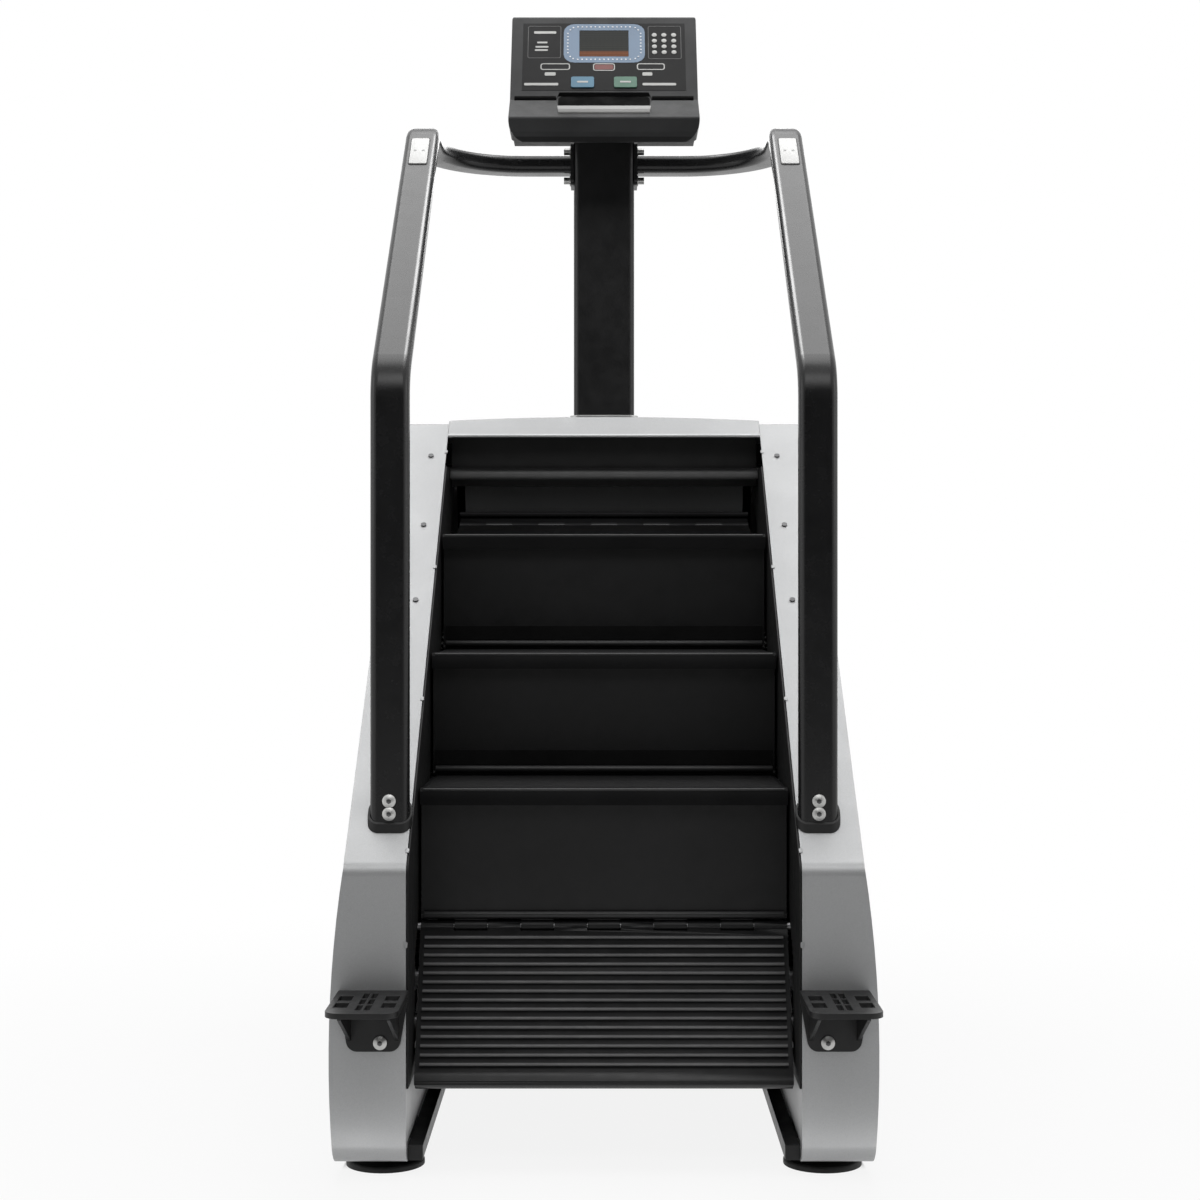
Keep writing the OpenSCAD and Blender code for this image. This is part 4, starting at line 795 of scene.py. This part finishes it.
# A printed mark is given in millimetres on the face, across and up from the middle of its foot.
def printed(left, right, low, high, corner, rim=0.0, lift=0.0):
    middle = on_face((left + right) / 2000, (low + high) / 2000, lift)
    width = (right - left) / 1000
    height = (high - low) / 1000
    mark = blank(middle, face_turn, width, height, corner / 1000)
    if rim:
        outline_only(mark, rim / 1000)
    return mark


ink_blue = coat("ink_blue", (0.165, 0.24, 0.345), 0.35, grain=3000.0, peel=0.05, uneven=0.12)
ink_white = coat("ink_white", (0.52, 0.52, 0.505), 0.4, grain=3000.0, peel=0.05, uneven=0.08)
ink_grey = coat("ink_grey", (0.10, 0.10, 0.10), 0.4, grain=3000.0, peel=0.05, uneven=0.1)
ink_red = coat("ink_red", (0.16, 0.035, 0.03), 0.4, grain=3000.0, peel=0.05, uneven=0.1)

surround = printed(-74, 75, 90, 186, 20)
thicken(surround, ink_t)
bpy.ops.object.select_all(action="DESELECT")
opening_up = 0.1375
bpy.ops.mesh.primitive_cube_add(size=1.0, location=on_face(0.0, opening_up), rotation=face_turn)
cutter = bpy.context.active_object
cutter.scale = (0.0905, 0.0655, 0.01)
opening = surround.modifiers.new("opening", "BOOLEAN")
opening.operation = "DIFFERENCE"
opening.object = cutter
bpy.context.view_layer.objects.active = surround
bpy.ops.object.modifier_apply(modifier="opening")
bpy.data.objects.remove(cutter)
surround.name = "display_surround"
finish(surround, ink_blue, "base")

fields = gather("printed_fields", [
    printed(-140, -79, 101, 181, 4, 1.0),
    printed(81, 142, 99, 181, 4, 1.0),
])
thicken(fields, ink_t)
finish(fields, ink_grey, "base")

symbols = gather("printed_symbols", [
    printed(-116, -62, 72, 88, 5, 2.0),
    printed(-20, 20, 70, 88, 5, 1.8),
    printed(60, 111, 72, 88, 5, 2.0),
    printed(-108, -88, 58, 66, 2),
    printed(70, 88, 58, 66, 2),
    printed(-129, -88, 162, 168, 2),
    printed(-123, -104, 138, 142, 1.5),
    printed(-126, -102, 127, 131, 1.5),
    printed(-127, -103, 119, 123, 1.5),
    printed(-145, -83, 34, 40, 2),
    printed(70, 131, 34, 40, 2),
])
thicken(symbols, ink_t)
finish(symbols, ink_white, "base")
centre_mark = printed(-17, 17, 73, 85, 3)
thicken(centre_mark, ink_t)
centre_mark.name = "printed_centre"
finish(centre_mark, ink_red, "base")

# Progress lights: a track of small white lamps round the display, each a clear dome set
# in the film, and a pad of twelve round membrane keys beside it.
lamp_white = coat("lamp_white", (0.78, 0.80, 0.82), 0.2, grain=3000.0, peel=0.03, uneven=0.06)


def dome(place, turn, radius, height, sides):
    bpy.ops.object.select_all(action="DESELECT")
    bpy.ops.mesh.primitive_circle_add(
        vertices=sides, radius=radius, fill_type="NGON", location=place, rotation=turn,
    )
    piece = bpy.context.active_object
    bpy.ops.object.transform_apply(location=True, rotation=True, scale=True)
    thicken(piece, height, height * 0.6)
    return piece


def repeat(pattern, first, places):
    copies = [pattern]
    for spot in places:
        copy = pattern.copy()
        copy.data = pattern.data.copy()
        bpy.context.scene.collection.objects.link(copy)
        copy.data.transform(Matrix.Translation(spot - first))
        copies.append(copy)
    return copies


lamp_gap = 8
track = []
for step in range(13):
    track.append((-48 + lamp_gap * step, 178.5))
    track.append((-48 + lamp_gap * step, 97.5))
for step in range(7):
    track.append((-66.5, 114 + lamp_gap * step))
    track.append((67.5, 114 + lamp_gap * step))
track += [
    (-62, 171), (63, 171), (-62, 104.5), (63, 104.5),
    (-56.5, 176.5), (57.5, 176.5), (-56.5, 99.5), (57.5, 99.5),
]
spots = [on_face(u / 1000, v / 1000, ink_t) for u, v in track]
first_lamp = dome(spots[0], face_turn, 0.0017, 0.0006, 8)
lamps = gather("progress_lights", repeat(first_lamp, spots[0], spots[1:]))
finish(lamps, lamp_white, "base")

key_rows = (158.4, 144.0, 129.8, 115.4)
key_columns = (92.7, 110.4, 128.4)
pad_keys = [on_face(u / 1000, v / 1000) for v in key_rows for u in key_columns]
first_key = dome(pad_keys[0], face_turn, 0.0047, 0.0009, 20)
keypad = gather("keypad", repeat(first_key, pad_keys[0], pad_keys[1:]))
finish(keypad, ink_white, "base")

# Stop and start keys: soft moulded caps, blue and green, each with a plain white bar
# printed on top. They press in against the board behind the face.
stop_blue = coat("stop_blue", (0.085, 0.21, 0.31), 0.4, grain=3000.0, peel=0.08)
start_green = coat("start_green", (0.08, 0.185, 0.13), 0.4, grain=3000.0, peel=0.08)
dress(["stop_key"], stop_blue, 0.0005)
dress(["start_key"], start_green, 0.0005)
key_proud = 0.003 - film_t
half_bar = 10
for key, body, middle in (("stop", "stop_button", -39), ("start", "start_button", 39)):
    bar = printed(middle - half_bar, middle + half_bar, 39, 43, 1.5, 0.0, key_proud)
    thicken(bar, ink_t)
    bar.name = key + "_key_bar"
    finish(bar, ink_white, body)

# Trough lining and panel gaskets: a black rubber sheet glued into the trough behind the
# ledge, and a black strip on either side along the seam below the panel.
trough_black = coat("trough_black", (0.005, 0.005, 0.005), 0.9, grain=1500.0, peel=0.3, shine=0.08)
trough_slope = (radians(43.98), 0.0, 0.0)
trough_middle = Vector((0.0, 0.1836, 1.7397))
lining_sheet = blank(trough_middle, trough_slope, 0.166, 0.0395, 0.008)
thicken(lining_sheet, 0.0008, 0.0003)
lining_sheet.name = "trough_lining"
finish(lining_sheet, trough_black, "base")
seam_in = 0.0868
seam_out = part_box("console_front")[1][0] - 0.008
for side, hand in ((-1, "left"), (1, "right")):
    seam_middle = Vector((side * (seam_in + seam_out) / 2, 0.1828, 1.7490))
    seam_strip = blank(seam_middle, face_turn, seam_out - seam_in, 0.0052, 0.0012)
    thicken(seam_strip, 0.0009, 0.0003)
    seam_strip.name = "panel_gasket_" + hand
    finish(seam_strip, trough_black, "base")

# Hand pads: moulded white touch pads with two small contacts, each set in a dark gasket
# on the upper end of a rail's slope.
rail_slope = (radians(39.74), 0.0, 0.0)
rail_out = Vector((0.0, -0.639, 0.769))
pad_white = coat("pad_white", (0.76, 0.76, 0.75), 0.42, grain=2400.0, peel=0.08, uneven=0.04)
contact_grey = coat("contact_grey", (0.38, 0.38, 0.38), 0.35, grain=2400.0, peel=0.05, uneven=0.1)
gasket_size = (0.0335, 0.095, 0.005)
pad_size = (0.0305, 0.090, 0.004)
pad_t = 0.0022
contact_gap = 0.014
for side, hand in ((-1, "left"), (1, "right")):
    seat = Vector((side * 0.318, -0.0028, 1.6123))
    gasket = blank(seat, rail_slope, *gasket_size)
    thicken(gasket, 0.0008, 0.0003)
    gasket.name = "pad_gasket_" + hand
    finish(gasket, socket_black, "base")
    pad = blank(seat, rail_slope, *pad_size)
    thicken(pad, pad_t, 0.0008)
    pad.name = "hand_pad_" + hand
    finish(pad, pad_white, "base")
    first = seat + rail_out * pad_t + Vector((-contact_gap / 2, 0.0, 0.0))
    second = first + Vector((contact_gap, 0.0, 0.0))
    first_contact = dome(first, rail_slope, 0.0026, 0.0005, 16)
    contacts = gather("pad_contacts_" + hand, repeat(first_contact, first, [second]))
    finish(contacts, contact_grey, "base")

# Edge clips: small pressed tabs that hold the guard sheets to the inner edge of each cover,
# four along the slope and one on the front.
clip_x = 0.2877
clip_size = (0.0056, 0.009, 0.002)
clip_places = [(0.2117, 1.1096), (-0.0444, 0.8966), (-0.2993, 0.6846), (-0.5516, 0.4747)]
for side, hand in ((-1, "left"), (1, "right")):
    tabs = [blank(Vector((side * clip_x, y, z)), rail_slope, *clip_size) for y, z in clip_places]
    tabs.append(blank(Vector((side * clip_x, -0.578, 0.3416)), upright, *clip_size))
    clips = gather("edge_clips_" + hand, tabs)
    thicken(clips, 0.0014, 0.0004)
    finish(clips, cover_silver, "base")

# Entry steps: pressed black steel plates with grip slots, one in front of each side cover,
# on brackets bolted through the covers to the side plates.
entry_black = coat("entry_black", (0.009, 0.009, 0.0093), 0.44, grain=1500.0)
dress(["entry_step_left", "entry_step_right"], entry_black, 0.0006)
dress(["entry_brackets"], entry_black, 0.0006)

# Bolt sockets: a flat dark hexagon just proud of the head of each bolt that holds the rails and the entry
# brackets, painted shade in place of the hollow of its socket.
rail_bolts_z = (0.5257, 0.5447)
heads = [Vector((side * 0.3174, -0.5270, z)) for side in (-1, 1) for z in rail_bolts_z]
heads += [Vector((side * 0.3240, -0.5903, 0.2010)) for side in (-1, 1)]
recess = Vector((0.0, 0.0011, 0.0))
# The dark hexagon is painted shade for the socket's hollow.
first_socket_shade = dome(heads[0] + recess, upright, 0.0040, 0.0013, 6)
socket_shades = gather("bolt_socket_shades", repeat(first_socket_shade, heads[0], heads[1:]))
finish(socket_shades, screw_dark, "base")

# Sizes: the box of the finished model.
low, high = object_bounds()
